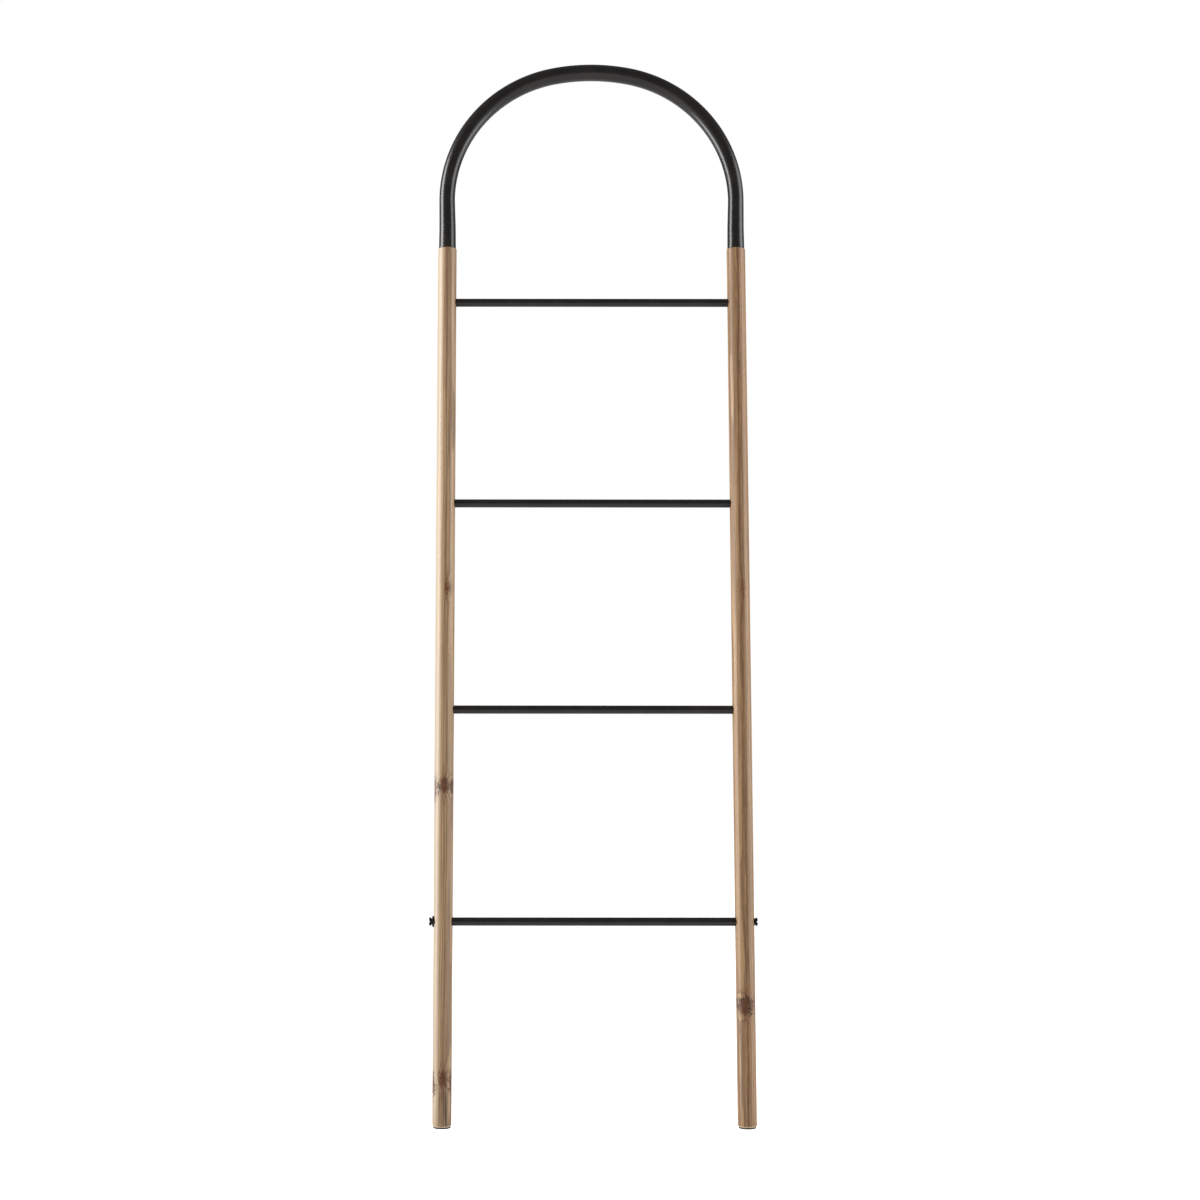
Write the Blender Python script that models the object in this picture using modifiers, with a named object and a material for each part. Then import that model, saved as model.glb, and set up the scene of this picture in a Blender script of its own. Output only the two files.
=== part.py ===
"""Leaning blanket ladder: two round wooden poles, a bent steel arch on top and four steel rungs.

Units are metres and +Z is up. The front faces -Y and the wall is towards +Y. The ladder is laid out flat
in a plane of its own, with x across it and z along the poles, and an empty leans that plane back from the
feet. Left and right are as seen from the front. Each rung's ends sit in sockets in the poles. The lowest
rung also takes a screw at each end, which ties the poles together, as the arch does at the top.
"""

import math

import bmesh
import bpy

# The whole ladder
LEAN = math.radians(9.0)  # the poles' angle from upright
POLE_SPACING = 0.470  # between the poles' axes
GAP = 0.0003  # between pieces that touch

# Wooden poles
POLE_RADIUS = 0.015
POLE_LENGTH = 1.400  # along the axis, from the floor to the arch's end
POLE_SHOULDER_CHAMFER = 0.0008
SPIGOT_LENGTH = 0.036
SPIGOT_CHAMFER = 0.0015
FOOT_CHAMFER = 0.0014

# Steel arch
TUBE_RADIUS = 0.0138
TUBE_WALL = 0.0012
LEG_LENGTH = 0.083  # straight part, from the joint to where the bend starts
LEG_SPLAY = 0.001  # how far each leg leans out above its spigot
SHOULDER_RADIUS = 0.217
CROWN_HALF_ANGLE = math.radians(11.0)  # half the flatter arc at the top
SPRING_SQUEEZE = 0.080  # share of the radius that the tube loses where the bend starts
CROWN_SQUEEZE = 0.025  # the same at the top of the arch

# Steel rungs
RUNG_NAMES = ("lowest_rung", "second_rung", "third_rung", "top_rung")
RUNG_RADIUS = 0.0066
RUNG_WALL = 0.0012
LOWEST_RUNG_HEIGHT = 0.314  # along the poles
TOP_RUNG_DROP = 0.090  # from the joint with the arch down to the top rung
SOCKET_DEPTH = 0.012
LOWEST_SOCKET_PLAY = 0.0008  # radial room round the lowest rung's ends

# Screws, washers and inserts of the lowest rung
SCREW_RADIUS = 0.003
SCREW_HEAD_RADIUS = 0.0065
SCREW_HEAD_HEIGHT = 0.0036
SCREW_HEAD_ROUND = 0.0009
SCREW_COLLAR_RADIUS = 0.0048
SCREW_COLLAR_HEIGHT = 0.0011
SCREW_SLOT_WIDTH = 0.0020
SCREW_SLOT_DEPTH = 0.0016
SCREW_GRIP = 0.012  # how far the screw reaches into its insert
SCREW_TIP_CHAMFER = 0.0010
INSERT_LENGTH = 0.016
WASHER_CHAMFER = 0.0003
LEFT_WASHER_RADIUS = 0.0088
LEFT_WASHER_HEIGHT = 0.0034
LEFT_SEAT_DEPTH = 0.0018  # counterbore below the pole's outer side
RIGHT_WASHER_RADIUS = 0.0069
RIGHT_WASHER_HEIGHT = 0.0010
RIGHT_SEAT_DEPTH = 0.0012
SEAT_PLAY = 0.0004  # radial room round a washer in its counterbore

# Screws that lock the arch on the poles, from behind
ARCH_SCREW_RADIUS = 0.00175
ARCH_SCREW_HEAD_RADIUS = 0.0036
ARCH_SCREW_HEAD_HEIGHT = 0.0022
ARCH_SCREW_HEAD_ROUND = 0.0012
ARCH_SCREW_LENGTH = 0.012
ARCH_SCREW_HEIGHT = 0.018  # above the joint

# Foot pads
PAD_RADIUS = 0.0136
PAD_HEIGHT = 0.0020
PAD_CHAMFER = 0.0003

# How finely round shapes are faceted
POLE_SIDES = 40
RUNG_SIDES = 24
SMALL_SIDES = 24
TUBE_RESOLUTION = 8
TUBE_SIDES = 2 * TUBE_RESOLUTION + 4
BEND_STEP = math.radians(5.0)
CORNER_STEPS = 3
CUT_MARGIN = 0.006  # how far a cutter reaches past what it cuts

# Places that follow from the sizes above
HALF_SPACING = POLE_SPACING / 2
SOCKET_FLOOR = HALF_SPACING - POLE_RADIUS + SOCKET_DEPTH  # from the ladder's middle
RUNG_HALF_LENGTH = SOCKET_FLOOR - GAP
RUNG_PITCH = (POLE_LENGTH - TOP_RUNG_DROP - LOWEST_RUNG_HEIGHT) / (len(RUNG_NAMES) - 1)
ARCH_HALF_SPAN = HALF_SPACING + LEG_SPLAY
CROWN_RADIUS = SHOULDER_RADIUS + (ARCH_HALF_SPAN - SHOULDER_RADIUS) / math.sin(CROWN_HALF_ANGLE)
SPRING_HEIGHT = POLE_LENGTH + LEG_LENGTH
CROWN_CENTRE_HEIGHT = SPRING_HEIGHT - (CROWN_RADIUS - SHOULDER_RADIUS) * math.cos(CROWN_HALF_ANGLE)
CROWN_HEIGHT = CROWN_CENTRE_HEIGHT + CROWN_RADIUS


class Side:
    """One side of the ladder, with the sizes that differ from the other side."""

    def __init__(self, name, sign, washer_radius, washer_height, seat_depth):
        self.name = name
        self.sign = sign  # -1 towards -X, +1 towards +X
        self.washer_radius = washer_radius
        self.washer_height = washer_height
        self.seat = POLE_RADIUS - seat_depth  # from the pole's axis
        self.washer_top = self.seat + GAP + washer_height
        self.reach = self.washer_top + GAP + SCREW_COLLAR_HEIGHT + SCREW_HEAD_HEIGHT

    @property
    def pole_x(self):
        return self.sign * HALF_SPACING

    @property
    def outward(self):
        """Rotation that turns a piece's own +Z away from the ladder's middle."""
        return (0, self.sign * math.pi / 2, 0)


LEFT = Side("left", -1, LEFT_WASHER_RADIUS, LEFT_WASHER_HEIGHT, LEFT_SEAT_DEPTH)
RIGHT = Side("right", 1, RIGHT_WASHER_RADIUS, RIGHT_WASHER_HEIGHT, RIGHT_SEAT_DEPTH)


def clear_scene():
    for obj in list(bpy.data.objects):
        bpy.data.objects.remove(obj, do_unlink=True)


def collection(name):
    made = bpy.data.collections.new(name)
    bpy.context.scene.collection.children.link(made)
    return made


def material(name, colour, roughness, metallic=0.0):
    made = bpy.data.materials.new(name)
    made.use_nodes = True
    shader = made.node_tree.nodes["Principled BSDF"]
    shader.inputs["Base Color"].default_value = (*colour, 1.0)
    shader.inputs["Roughness"].default_value = roughness
    shader.inputs["Metallic"].default_value = metallic
    return made


def empty(name, parent=None, location=(0, 0, 0), rotation=(0, 0, 0)):
    made = bpy.data.objects.new(name, None)
    PARTS.objects.link(made)
    made.parent = parent
    made.location = location
    made.rotation_euler = rotation
    return made


def place(obj, group, parent, location=(0, 0, 0), rotation=(0, 0, 0), finish=None):
    group.objects.link(obj)
    obj.parent = parent
    obj.location = location
    obj.rotation_euler = rotation
    if finish:
        obj.data.materials.append(finish)
    else:
        obj.hide_render = True
        obj.display_type = "WIRE"
    return obj


def turned(name, profile, sides, ring=False):
    """A shape turned about its own Z: profile is (radius, height) points, top first and down the outer side.

    A ring's profile is a closed loop that stays clear of the axis.
    """
    mesh = bpy.data.meshes.new(name)
    points = [(radius, 0.0, height) for radius, height in profile]
    edges = [(i, i + 1) for i in range(len(points) - 1)]
    if ring:
        edges.append((len(points) - 1, 0))
    mesh.from_pydata(points, edges, [])
    obj = bpy.data.objects.new(name, mesh)
    screw = obj.modifiers.new("Turn", "SCREW")
    screw.axis = "Z"
    screw.steps = screw.render_steps = sides
    screw.use_merge_vertices = True
    screw.merge_threshold = 0.00001
    screw.use_smooth_shade = True
    return obj


def box(name, size):
    mesh = bpy.data.meshes.new(name)
    shape = bmesh.new()
    bmesh.ops.create_cube(shape, size=1.0)
    bmesh.ops.scale(shape, vec=size, verts=shape.verts)
    shape.to_mesh(mesh)
    shape.free()
    return bpy.data.objects.new(name, mesh)


def cut(obj, cutter):
    boolean = obj.modifiers.new(f"Cut {cutter.name}", "BOOLEAN")
    boolean.operation = "DIFFERENCE"
    boolean.solver = "EXACT"
    boolean.object = cutter


def round_corner(radius, height, size):
    """Points of a quarter round from a flat top at this height down to a side at this radius."""
    return [
        (
            radius - size + size * math.sin(math.pi / 2 * step / CORNER_STEPS),
            height - size + size * math.cos(math.pi / 2 * step / CORNER_STEPS),
        )
        for step in range(CORNER_STEPS + 1)
    ]


def tube_radius(rise):
    """The arch tube's outer radius at this height above the joint: bending squeezes it, most at the start."""
    if rise <= LEG_LENGTH:
        return TUBE_RADIUS * (1 - SPRING_SQUEEZE * max(rise, 0) / LEG_LENGTH)
    share = (rise - LEG_LENGTH) / (CROWN_HEIGHT - SPRING_HEIGHT)
    return TUBE_RADIUS * (1 - SPRING_SQUEEZE + (SPRING_SQUEEZE - CROWN_SQUEEZE) * share)


def arch_points():
    """(x, height) points of the arch's centreline, from the left joint over the crown to the right joint."""
    foot = POLE_LENGTH + GAP
    leg = [(HALF_SPACING, foot), (HALF_SPACING, POLE_LENGTH + SPIGOT_LENGTH + GAP)]
    shoulder_turn = math.pi / 2 - CROWN_HALF_ANGLE
    steps = math.ceil(shoulder_turn / BEND_STEP)
    shoulder = [
        (
            ARCH_HALF_SPAN - SHOULDER_RADIUS * (1 - math.cos(shoulder_turn * step / steps)),
            SPRING_HEIGHT + SHOULDER_RADIUS * math.sin(shoulder_turn * step / steps),
        )
        for step in range(steps + 1)
    ]
    crown_steps = math.ceil(CROWN_HALF_ANGLE / BEND_STEP)
    crown = [
        (
            CROWN_RADIUS * math.sin(CROWN_HALF_ANGLE * (1 - step / crown_steps)),
            CROWN_CENTRE_HEIGHT + CROWN_RADIUS * math.cos(CROWN_HALF_ANGLE * (1 - step / crown_steps)),
        )
        for step in range(1, crown_steps + 1)
    ]
    right = leg + shoulder + crown
    left = [(-x, height) for x, height in right[:-1]]
    return left + right[::-1]


def make_arch(lean):
    """A bent tube, open at both ends, with a clearance hole for each locking screw."""
    points = arch_points()
    curve = bpy.data.curves.new("arch_path", "CURVE")
    curve.dimensions = "3D"
    curve.bevel_depth = 1.0
    curve.bevel_resolution = TUBE_RESOLUTION
    spline = curve.splines.new("POLY")
    spline.points.add(len(points) - 1)
    for point, (x, height) in zip(spline.points, points):
        point.co = (x, 0.0, height, 1.0)
        point.radius = tube_radius(height - POLE_LENGTH)
    path = bpy.data.objects.new("arch_path", curve)
    PARTS.objects.link(path)
    graph = bpy.context.evaluated_depsgraph_get()
    mesh = bpy.data.meshes.new_from_object(path.evaluated_get(graph))
    bpy.data.objects.remove(path, do_unlink=True)
    mesh.shade_smooth()
    arch = place(bpy.data.objects.new("arch_tube", mesh), PARTS, lean, finish=BLACK_COATING)
    wall = arch.modifiers.new("Wall", "SOLIDIFY")
    wall.thickness = TUBE_WALL
    wall.offset = -1.0
    for side in (LEFT, RIGHT):
        cut(arch, arch_screw_hole(f"{side.name}_tube_hole", side, lean, TUBE_RADIUS / 2))
    return arch


def arch_screw_hole(name, side, lean, start):
    """A cutter for a locking screw's hole, from this distance behind the pole's axis outwards."""
    radius = ARCH_SCREW_RADIUS + GAP
    top = TUBE_RADIUS + CUT_MARGIN
    hole = turned(name, [(0, top), (radius, top), (radius, start), (0, start)], SMALL_SIDES)
    height = POLE_LENGTH + ARCH_SCREW_HEIGHT
    return place(hole, CUTTERS, lean, (side.pole_x, 0, height), (-math.pi / 2, 0, 0))


def arch_screw_seat():
    """Distance from the pole's axis to the underside of a locking screw's head."""
    return tube_radius(ARCH_SCREW_HEIGHT) + 2 * GAP


def make_arch_screw(side, lean):
    """A domed screw through the back of the tube into the spigot."""
    seat = arch_screw_seat()
    top = seat + ARCH_SCREW_HEAD_HEIGHT
    tip = seat - ARCH_SCREW_LENGTH
    profile = [
        (0, top),
        *round_corner(ARCH_SCREW_HEAD_RADIUS, top, ARCH_SCREW_HEAD_ROUND),
        (ARCH_SCREW_HEAD_RADIUS, seat),
        (ARCH_SCREW_RADIUS, seat),
        (ARCH_SCREW_RADIUS, tip + ARCH_SCREW_RADIUS),
        (0, tip),
    ]
    screw = turned(f"{side.name}_arch_screw", profile, SMALL_SIDES)
    height = POLE_LENGTH + ARCH_SCREW_HEIGHT
    place(screw, PARTS, lean, (side.pole_x, 0, height), (-math.pi / 2, 0, 0), BLACK_STEEL)


def rung_height(index):
    return LOWEST_RUNG_HEIGHT + index * RUNG_PITCH


def blind_socket(side, index, lean):
    """A cutter for the socket of one of the upper rungs."""
    radius = RUNG_RADIUS + GAP
    floor = SOCKET_DEPTH - POLE_RADIUS
    mouth = -POLE_RADIUS - CUT_MARGIN
    profile = [(0, floor), (radius, floor), (radius, mouth), (0, mouth)]
    socket = turned(f"{side.name}_{RUNG_NAMES[index]}_socket", profile, RUNG_SIDES)
    return place(socket, CUTTERS, lean, (side.pole_x, 0, rung_height(index)), side.outward)


def through_socket(side, lean):
    """A cutter for the lowest rung's socket, the screw's hole and the washer's counterbore."""
    socket_radius = RUNG_RADIUS + LOWEST_SOCKET_PLAY
    bore_radius = SCREW_RADIUS + GAP
    seat_radius = side.washer_radius + SEAT_PLAY
    outer = POLE_RADIUS + CUT_MARGIN
    floor = SOCKET_DEPTH - POLE_RADIUS
    profile = [
        (0, outer),
        (seat_radius, outer),
        (seat_radius, side.seat),
        (bore_radius, side.seat),
        (bore_radius, floor),
        (socket_radius, floor),
        (socket_radius, -outer),
        (0, -outer),
    ]
    socket = turned(f"{side.name}_{RUNG_NAMES[0]}_socket", profile, SMALL_SIDES)
    return place(socket, CUTTERS, lean, (side.pole_x, 0, rung_height(0)), side.outward)


def foot_trim(side, root):
    """A cutter that leaves the pole's foot level, just above its pad, with a chamfer round it."""
    level = PAD_HEIGHT + GAP
    inner = POLE_RADIUS - FOOT_CHAMFER
    slope = FOOT_CHAMFER + CUT_MARGIN
    outer = POLE_RADIUS + 2 * CUT_MARGIN
    profile = [
        (0, level),
        (inner, level),
        (inner + slope, level + slope),
        (outer, level + slope),
        (outer, -POLE_RADIUS),
        (0, -POLE_RADIUS),
    ]
    trim = turned(f"{side.name}_foot_trim", profile, POLE_SIDES)
    return place(trim, CUTTERS, root, (side.pole_x, level * math.tan(LEAN), 0))


def make_pole(side, root, lean):
    """A round pole with a spigot on top, sockets on its inner side and a level foot."""
    bore = (tube_radius(SPIGOT_LENGTH) - TUBE_WALL) * math.cos(math.pi / TUBE_SIDES)
    spigot_radius = bore - GAP
    top = POLE_LENGTH + SPIGOT_LENGTH
    start = -POLE_RADIUS / 2
    profile = [
        (0, top),
        (spigot_radius - SPIGOT_CHAMFER, top),
        (spigot_radius, top - SPIGOT_CHAMFER),
        (spigot_radius, POLE_LENGTH),
        (POLE_RADIUS - POLE_SHOULDER_CHAMFER, POLE_LENGTH),
        (POLE_RADIUS, POLE_LENGTH - POLE_SHOULDER_CHAMFER),
        (POLE_RADIUS, start),
        (0, start),
    ]
    pole = turned(f"{side.name}_pole", profile, POLE_SIDES)
    place(pole, PARTS, lean, (side.pole_x, 0, 0), finish=WOOD)
    cut(pole, foot_trim(side, root))
    cut(pole, through_socket(side, lean))
    for index in range(1, len(RUNG_NAMES)):
        cut(pole, blind_socket(side, index, lean))
    pilot_end = arch_screw_seat() - ARCH_SCREW_LENGTH - GAP
    cut(pole, arch_screw_hole(f"{side.name}_pilot_hole", side, lean, pilot_end))


def make_rung(index, lean):
    """A plain tube whose ends sit in the poles' sockets."""
    bore = RUNG_RADIUS - RUNG_WALL
    profile = [
        (RUNG_RADIUS, RUNG_HALF_LENGTH),
        (RUNG_RADIUS, -RUNG_HALF_LENGTH),
        (bore, -RUNG_HALF_LENGTH),
        (bore, RUNG_HALF_LENGTH),
    ]
    rung = turned(RUNG_NAMES[index], profile, RUNG_SIDES, ring=True)
    place(rung, PARTS, lean, (0, 0, rung_height(index)), RIGHT.outward, BLACK_COATING)


def make_insert(side, lean):
    """The threaded insert in the end of the lowest rung."""
    outer = RUNG_RADIUS - RUNG_WALL - GAP
    inner = SCREW_RADIUS + GAP
    top = RUNG_HALF_LENGTH - HALF_SPACING
    bottom = top - INSERT_LENGTH
    profile = [(outer, top), (outer, bottom), (inner, bottom), (inner, top)]
    insert = turned(f"{side.name}_rung_insert", profile, SMALL_SIDES, ring=True)
    place(insert, PARTS, lean, (side.pole_x, 0, rung_height(0)), side.outward, ZINC)


def make_washer(side, lean):
    """The washer in the counterbore of the lowest rung's screw."""
    outer = side.washer_radius
    inner = SCREW_RADIUS + GAP
    top = side.washer_top
    bottom = side.seat + GAP
    profile = [
        (outer - WASHER_CHAMFER, top),
        (outer, top - WASHER_CHAMFER),
        (outer, bottom),
        (inner, bottom),
        (inner, top),
    ]
    washer = turned(f"{side.name}_washer", profile, SMALL_SIDES, ring=True)
    place(washer, PARTS, lean, (side.pole_x, 0, rung_height(0)), side.outward, BLACK_STEEL)


def make_rung_screw(side, lean):
    """A slotted screw with a collar under its head, through the pole into the rung's insert."""
    top = side.reach
    head_bottom = top - SCREW_HEAD_HEIGHT
    collar_bottom = head_bottom - SCREW_COLLAR_HEIGHT
    tip = RUNG_HALF_LENGTH - HALF_SPACING - SCREW_GRIP
    profile = [
        (0, top),
        *round_corner(SCREW_HEAD_RADIUS, top, SCREW_HEAD_ROUND),
        (SCREW_HEAD_RADIUS, head_bottom),
        (SCREW_COLLAR_RADIUS, head_bottom),
        (SCREW_COLLAR_RADIUS, collar_bottom),
        (SCREW_RADIUS, collar_bottom),
        (SCREW_RADIUS, tip + SCREW_TIP_CHAMFER),
        (SCREW_RADIUS - SCREW_TIP_CHAMFER, tip),
        (0, tip),
    ]
    at = (side.pole_x, 0, rung_height(0))
    screw = turned(f"{side.name}_rung_screw", profile, SMALL_SIDES)
    place(screw, PARTS, lean, at, side.outward, BLACK_STEEL)
    length = 2 * (SCREW_HEAD_RADIUS + CUT_MARGIN)
    slot = box(f"{side.name}_screw_slot", (SCREW_SLOT_WIDTH, length, 2 * SCREW_SLOT_DEPTH))
    outside = (side.pole_x + side.sign * top, 0, rung_height(0))
    cut(screw, place(slot, CUTTERS, lean, outside, side.outward))


def make_foot_pad(side, root):
    """A flat round pad between the level foot and the floor."""
    profile = [
        (0, PAD_HEIGHT),
        (PAD_RADIUS - PAD_CHAMFER, PAD_HEIGHT),
        (PAD_RADIUS, PAD_HEIGHT - PAD_CHAMFER),
        (PAD_RADIUS, 0),
        (0, 0),
    ]
    pad = turned(f"{side.name}_foot_pad", profile, POLE_SIDES)
    place(pad, PARTS, root, (side.pole_x, PAD_HEIGHT * math.tan(LEAN), 0), finish=RUBBER)


def main():
    """Stand the ladder on the floor with its feet in front and the arch against the wall behind."""
    crown_back = CROWN_HEIGHT * math.sin(LEAN) + tube_radius(CROWN_HEIGHT - POLE_LENGTH)
    foot_front = POLE_RADIUS / math.cos(LEAN)
    middle = ((LEFT.reach - RIGHT.reach) / 2, (foot_front - crown_back) / 2, 0)
    root = empty("blanket_ladder", location=middle)
    lean = empty("leaning_plane", root, rotation=(-LEAN, 0, 0))
    make_arch(lean)
    for index in range(len(RUNG_NAMES)):
        make_rung(index, lean)
    for side in (LEFT, RIGHT):
        make_pole(side, root, lean)
        make_insert(side, lean)
        make_washer(side, lean)
        make_rung_screw(side, lean)
        make_arch_screw(side, lean)
        make_foot_pad(side, root)


clear_scene()
PARTS = collection("blanket_ladder")
CUTTERS = collection("cutters")
WOOD = material("oiled_softwood", (0.46, 0.32, 0.20), 0.55)
BLACK_COATING = material("black_powder_coating", (0.020, 0.018, 0.017), 0.45)
BLACK_STEEL = material("black_oxide_steel", (0.012, 0.011, 0.011), 0.40, 0.8)
ZINC = material("zinc_plated_steel", (0.55, 0.56, 0.58), 0.35, 1.0)
RUBBER = material("black_rubber", (0.015, 0.015, 0.015), 0.85)
main()
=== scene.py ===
"""The looks of a leaning blanket ladder: oiled softwood poles, and an arch and rungs in black coated steel.

Units are metres and +Z is up. The front faces -Y and the wall is towards +Y. Lengths in the materials are in
millimetres, because grain and coating are easier to judge that way.
"""

from __future__ import annotations

import logging
import math
from dataclasses import dataclass, field
from enum import Enum
from typing import Sequence, Union

import bmesh
import bpy
from mathutils import Euler, Matrix, Vector


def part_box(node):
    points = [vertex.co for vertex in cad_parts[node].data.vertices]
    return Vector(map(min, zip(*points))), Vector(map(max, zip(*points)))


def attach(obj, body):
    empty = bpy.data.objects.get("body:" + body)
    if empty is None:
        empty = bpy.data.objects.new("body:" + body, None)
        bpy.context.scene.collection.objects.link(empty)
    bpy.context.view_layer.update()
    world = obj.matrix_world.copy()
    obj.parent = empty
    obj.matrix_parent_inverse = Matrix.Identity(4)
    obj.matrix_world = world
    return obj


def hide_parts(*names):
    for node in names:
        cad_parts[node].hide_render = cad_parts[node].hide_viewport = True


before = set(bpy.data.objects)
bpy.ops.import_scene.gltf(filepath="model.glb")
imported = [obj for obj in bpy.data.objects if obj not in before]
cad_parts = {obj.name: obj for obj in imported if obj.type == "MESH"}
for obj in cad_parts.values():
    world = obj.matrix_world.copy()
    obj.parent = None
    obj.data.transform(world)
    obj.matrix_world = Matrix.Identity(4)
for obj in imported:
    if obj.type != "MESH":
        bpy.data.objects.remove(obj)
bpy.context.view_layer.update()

LOG = logging.getLogger("blanket_ladder")
MM = 0.001
BODY = "root"
CUT_MARGIN = 0.006  # how far a cutter reaches past what it cuts
MERGE_DISTANCE = 1e-6  # points nearer than this are one point
ROUND_STEPS = 4  # how many parts a rounded corner of an outline has
BEVEL_STRIPS = 2  # how many strips an eased edge has
HOLE_SIDES = 48  # how many faces go round a hole
WHITE = (1.0, 1.0, 1.0, 1.0)

Number = Union[int, float]
Point = tuple[float, float]
Triple = tuple[float, float, float]
Colour = tuple[float, float, float]

LEFTWARDS: Triple = (-1.0, 0.0, 0.0)
RIGHTWARDS: Triple = (1.0, 0.0, 0.0)
FORWARDS: Triple = (0.0, -1.0, 0.0)
UPWARDS: Triple = (0.0, 0.0, 1.0)


class Side(Enum):
    """One side of the ladder, as seen from the front."""

    LEFT = -1
    RIGHT = 1

    @property
    def label(self) -> str:
        """The word that starts the names of this side's pieces."""
        return self.name.lower()


# ---------------------------------------------------------------- node arithmetic


@dataclass(frozen=True)
class Step:
    """A smooth step: where it starts and ends, and the levels before and after it."""

    start: float
    end: float
    before: float = 0.0
    after: float = 1.0


class Value:
    """A socket that takes part in arithmetic: each expression on values adds its Math nodes."""

    def __init__(self, tree: Tree, socket: bpy.types.NodeSocket) -> None:
        """Wraps an output socket.

        Args:
            tree: the tree that the socket belongs to.
            socket: the output to wrap.
        """
        self.tree = tree
        self.socket = socket

    def _math(self, operation: str, *operands: Operand) -> Value:
        """The result of one Math node.

        Args:
            operation: the node's operation.
            operands: its inputs, in order.

        Returns:
            The node's output.
        """
        made = self.tree.add("ShaderNodeMath", {"operation": operation}, dict(enumerate(operands)))
        return Value(self.tree, made.outputs[0])

    def __add__(self, other: Operand) -> Value:
        """Sum."""
        return self._math("ADD", self, other)

    def __radd__(self, other: Operand) -> Value:
        """Sum with a number on the left."""
        return self._math("ADD", other, self)

    def __sub__(self, other: Operand) -> Value:
        """Difference."""
        return self._math("SUBTRACT", self, other)

    def __rsub__(self, other: Operand) -> Value:
        """Difference from a number on the left."""
        return self._math("SUBTRACT", other, self)

    def __mul__(self, other: Operand) -> Value:
        """Product."""
        return self._math("MULTIPLY", self, other)

    def __rmul__(self, other: Operand) -> Value:
        """Product with a number on the left."""
        return self._math("MULTIPLY", other, self)

    def __truediv__(self, other: Operand) -> Value:
        """Quotient."""
        return self._math("DIVIDE", self, other)

    def fraction(self) -> Value:
        """The part after the decimal point."""
        return self._math("FRACT", self)

    def size(self) -> Value:
        """The value without its sign."""
        return self._math("ABSOLUTE", self)

    def sign(self) -> Value:
        """Which side of 0 the value is on."""
        return self._math("SIGN", self)

    def sine(self) -> Value:
        """Sine of an angle in radians."""
        return self._math("SINE", self)

    def cosine(self) -> Value:
        """Cosine of an angle in radians."""
        return self._math("COSINE", self)

    def at_least(self, other: Operand) -> Value:
        """The larger of the two."""
        return self._math("MAXIMUM", self, other)

    def at_most(self, other: Operand) -> Value:
        """The smaller of the two."""
        return self._math("MINIMUM", self, other)

    def step(self, shape: Step) -> Value:
        """A smooth step from one level to another.

        Args:
            shape: where the step lies, and its two levels.

        Returns:
            The stepped value.
        """
        made = self.tree.add(
            "ShaderNodeMapRange",
            {"interpolation_type": "SMOOTHSTEP"},
            {
                "Value": self,
                "From Min": shape.start,
                "From Max": shape.end,
                "To Min": shape.before,
                "To Max": shape.after,
            },
        )
        return Value(self.tree, made.outputs[0])


Operand = Union[Value, Number]


class Tree:
    """A node tree with one way to add a node."""

    def __init__(self, tree: bpy.types.NodeTree) -> None:
        """Wraps a node tree.

        Args:
            tree: the tree to build in.
        """
        self.tree = tree

    def add(
        self,
        kind: str,
        settings: dict[str, object] | None = None,
        sockets: dict[str | int, object] | None = None,
    ) -> bpy.types.Node:
        """Adds a node, sets it up and fills its inputs.

        Args:
            kind: the node's type.
            settings: its properties, which are set first.
            sockets: the values or links of its inputs, by name or index.

        Returns:
            The new node.
        """
        node = self.tree.nodes.new(kind)
        for name, value in (settings or {}).items():
            setattr(node, name, value)
        for key, value in (sockets or {}).items():
            self.fill(node.inputs[key], value)
        return node

    def fill(self, target: bpy.types.NodeSocket, value: object) -> None:
        """Links or sets one input.

        Args:
            target: the input.
            value: a value or a socket to link, or a number, colour or vector to set.
        """
        source = value.socket if isinstance(value, Value) else value
        if isinstance(source, bpy.types.NodeSocket):
            self.tree.links.new(source, target)
        else:
            target.default_value = source

    def _vector_math(self, operation: str, operands: Sequence[object]) -> bpy.types.Node:
        """A Vector Math node with its inputs in order."""
        return self.add("ShaderNodeVectorMath", {"operation": operation}, dict(enumerate(operands)))

    def vector(self, operation: str, *operands: object) -> bpy.types.NodeSocket:
        """A vector from a Vector Math node.

        Args:
            operation: the node's operation.
            operands: its inputs, in order.

        Returns:
            The vector output.
        """
        return self._vector_math(operation, operands).outputs["Vector"]

    def measure(self, operation: str, *operands: object) -> Value:
        """A number from a Vector Math node, such as a length.

        Args:
            operation: the node's operation.
            operands: its inputs, in order.

        Returns:
            The number.
        """
        return Value(self, self._vector_math(operation, operands).outputs["Value"])

    def blend(self, share: Operand, first: object, second: object) -> bpy.types.NodeSocket:
        """A mix of two colours.

        Args:
            share: how much of the second colour there is.
            first: the colour at a share of 0.
            second: the colour at a share of 1.

        Returns:
            The mixed colour.
        """
        colours = [(*c, 1.0) if isinstance(c, tuple) else c for c in (first, second)]
        made = self.add("ShaderNodeMix", {"data_type": "RGBA"}, {0: share, 6: colours[0], 7: colours[1]})
        return made.outputs[2]


@dataclass(frozen=True)
class Pattern:
    """Smooth noise from 0 to 1, even in all directions or drawn out along Z."""

    across: float  # features to a millimetre
    along: float | None = None  # the same along Z, where that is different
    detail: float = 2.0  # how many finer layers are added
    rough: float = 0.5  # how strong the finer layers are

    def on(self, tree: Tree, place: bpy.types.NodeSocket) -> Value:
        """The noise at a place.

        Args:
            tree: the tree to build in.
            place: the coordinates that it follows, in millimetres.

        Returns:
            The noise.
        """
        scale = self.across
        if self.along is not None:
            place = tree.vector("MULTIPLY", place, (self.across, self.across, self.along))
            scale = 1.0
        sockets = {"Vector": place, "Scale": scale, "Detail": self.detail, "Roughness": self.rough}
        return Value(tree, tree.add("ShaderNodeTexNoise", {}, sockets).outputs[0])


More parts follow.
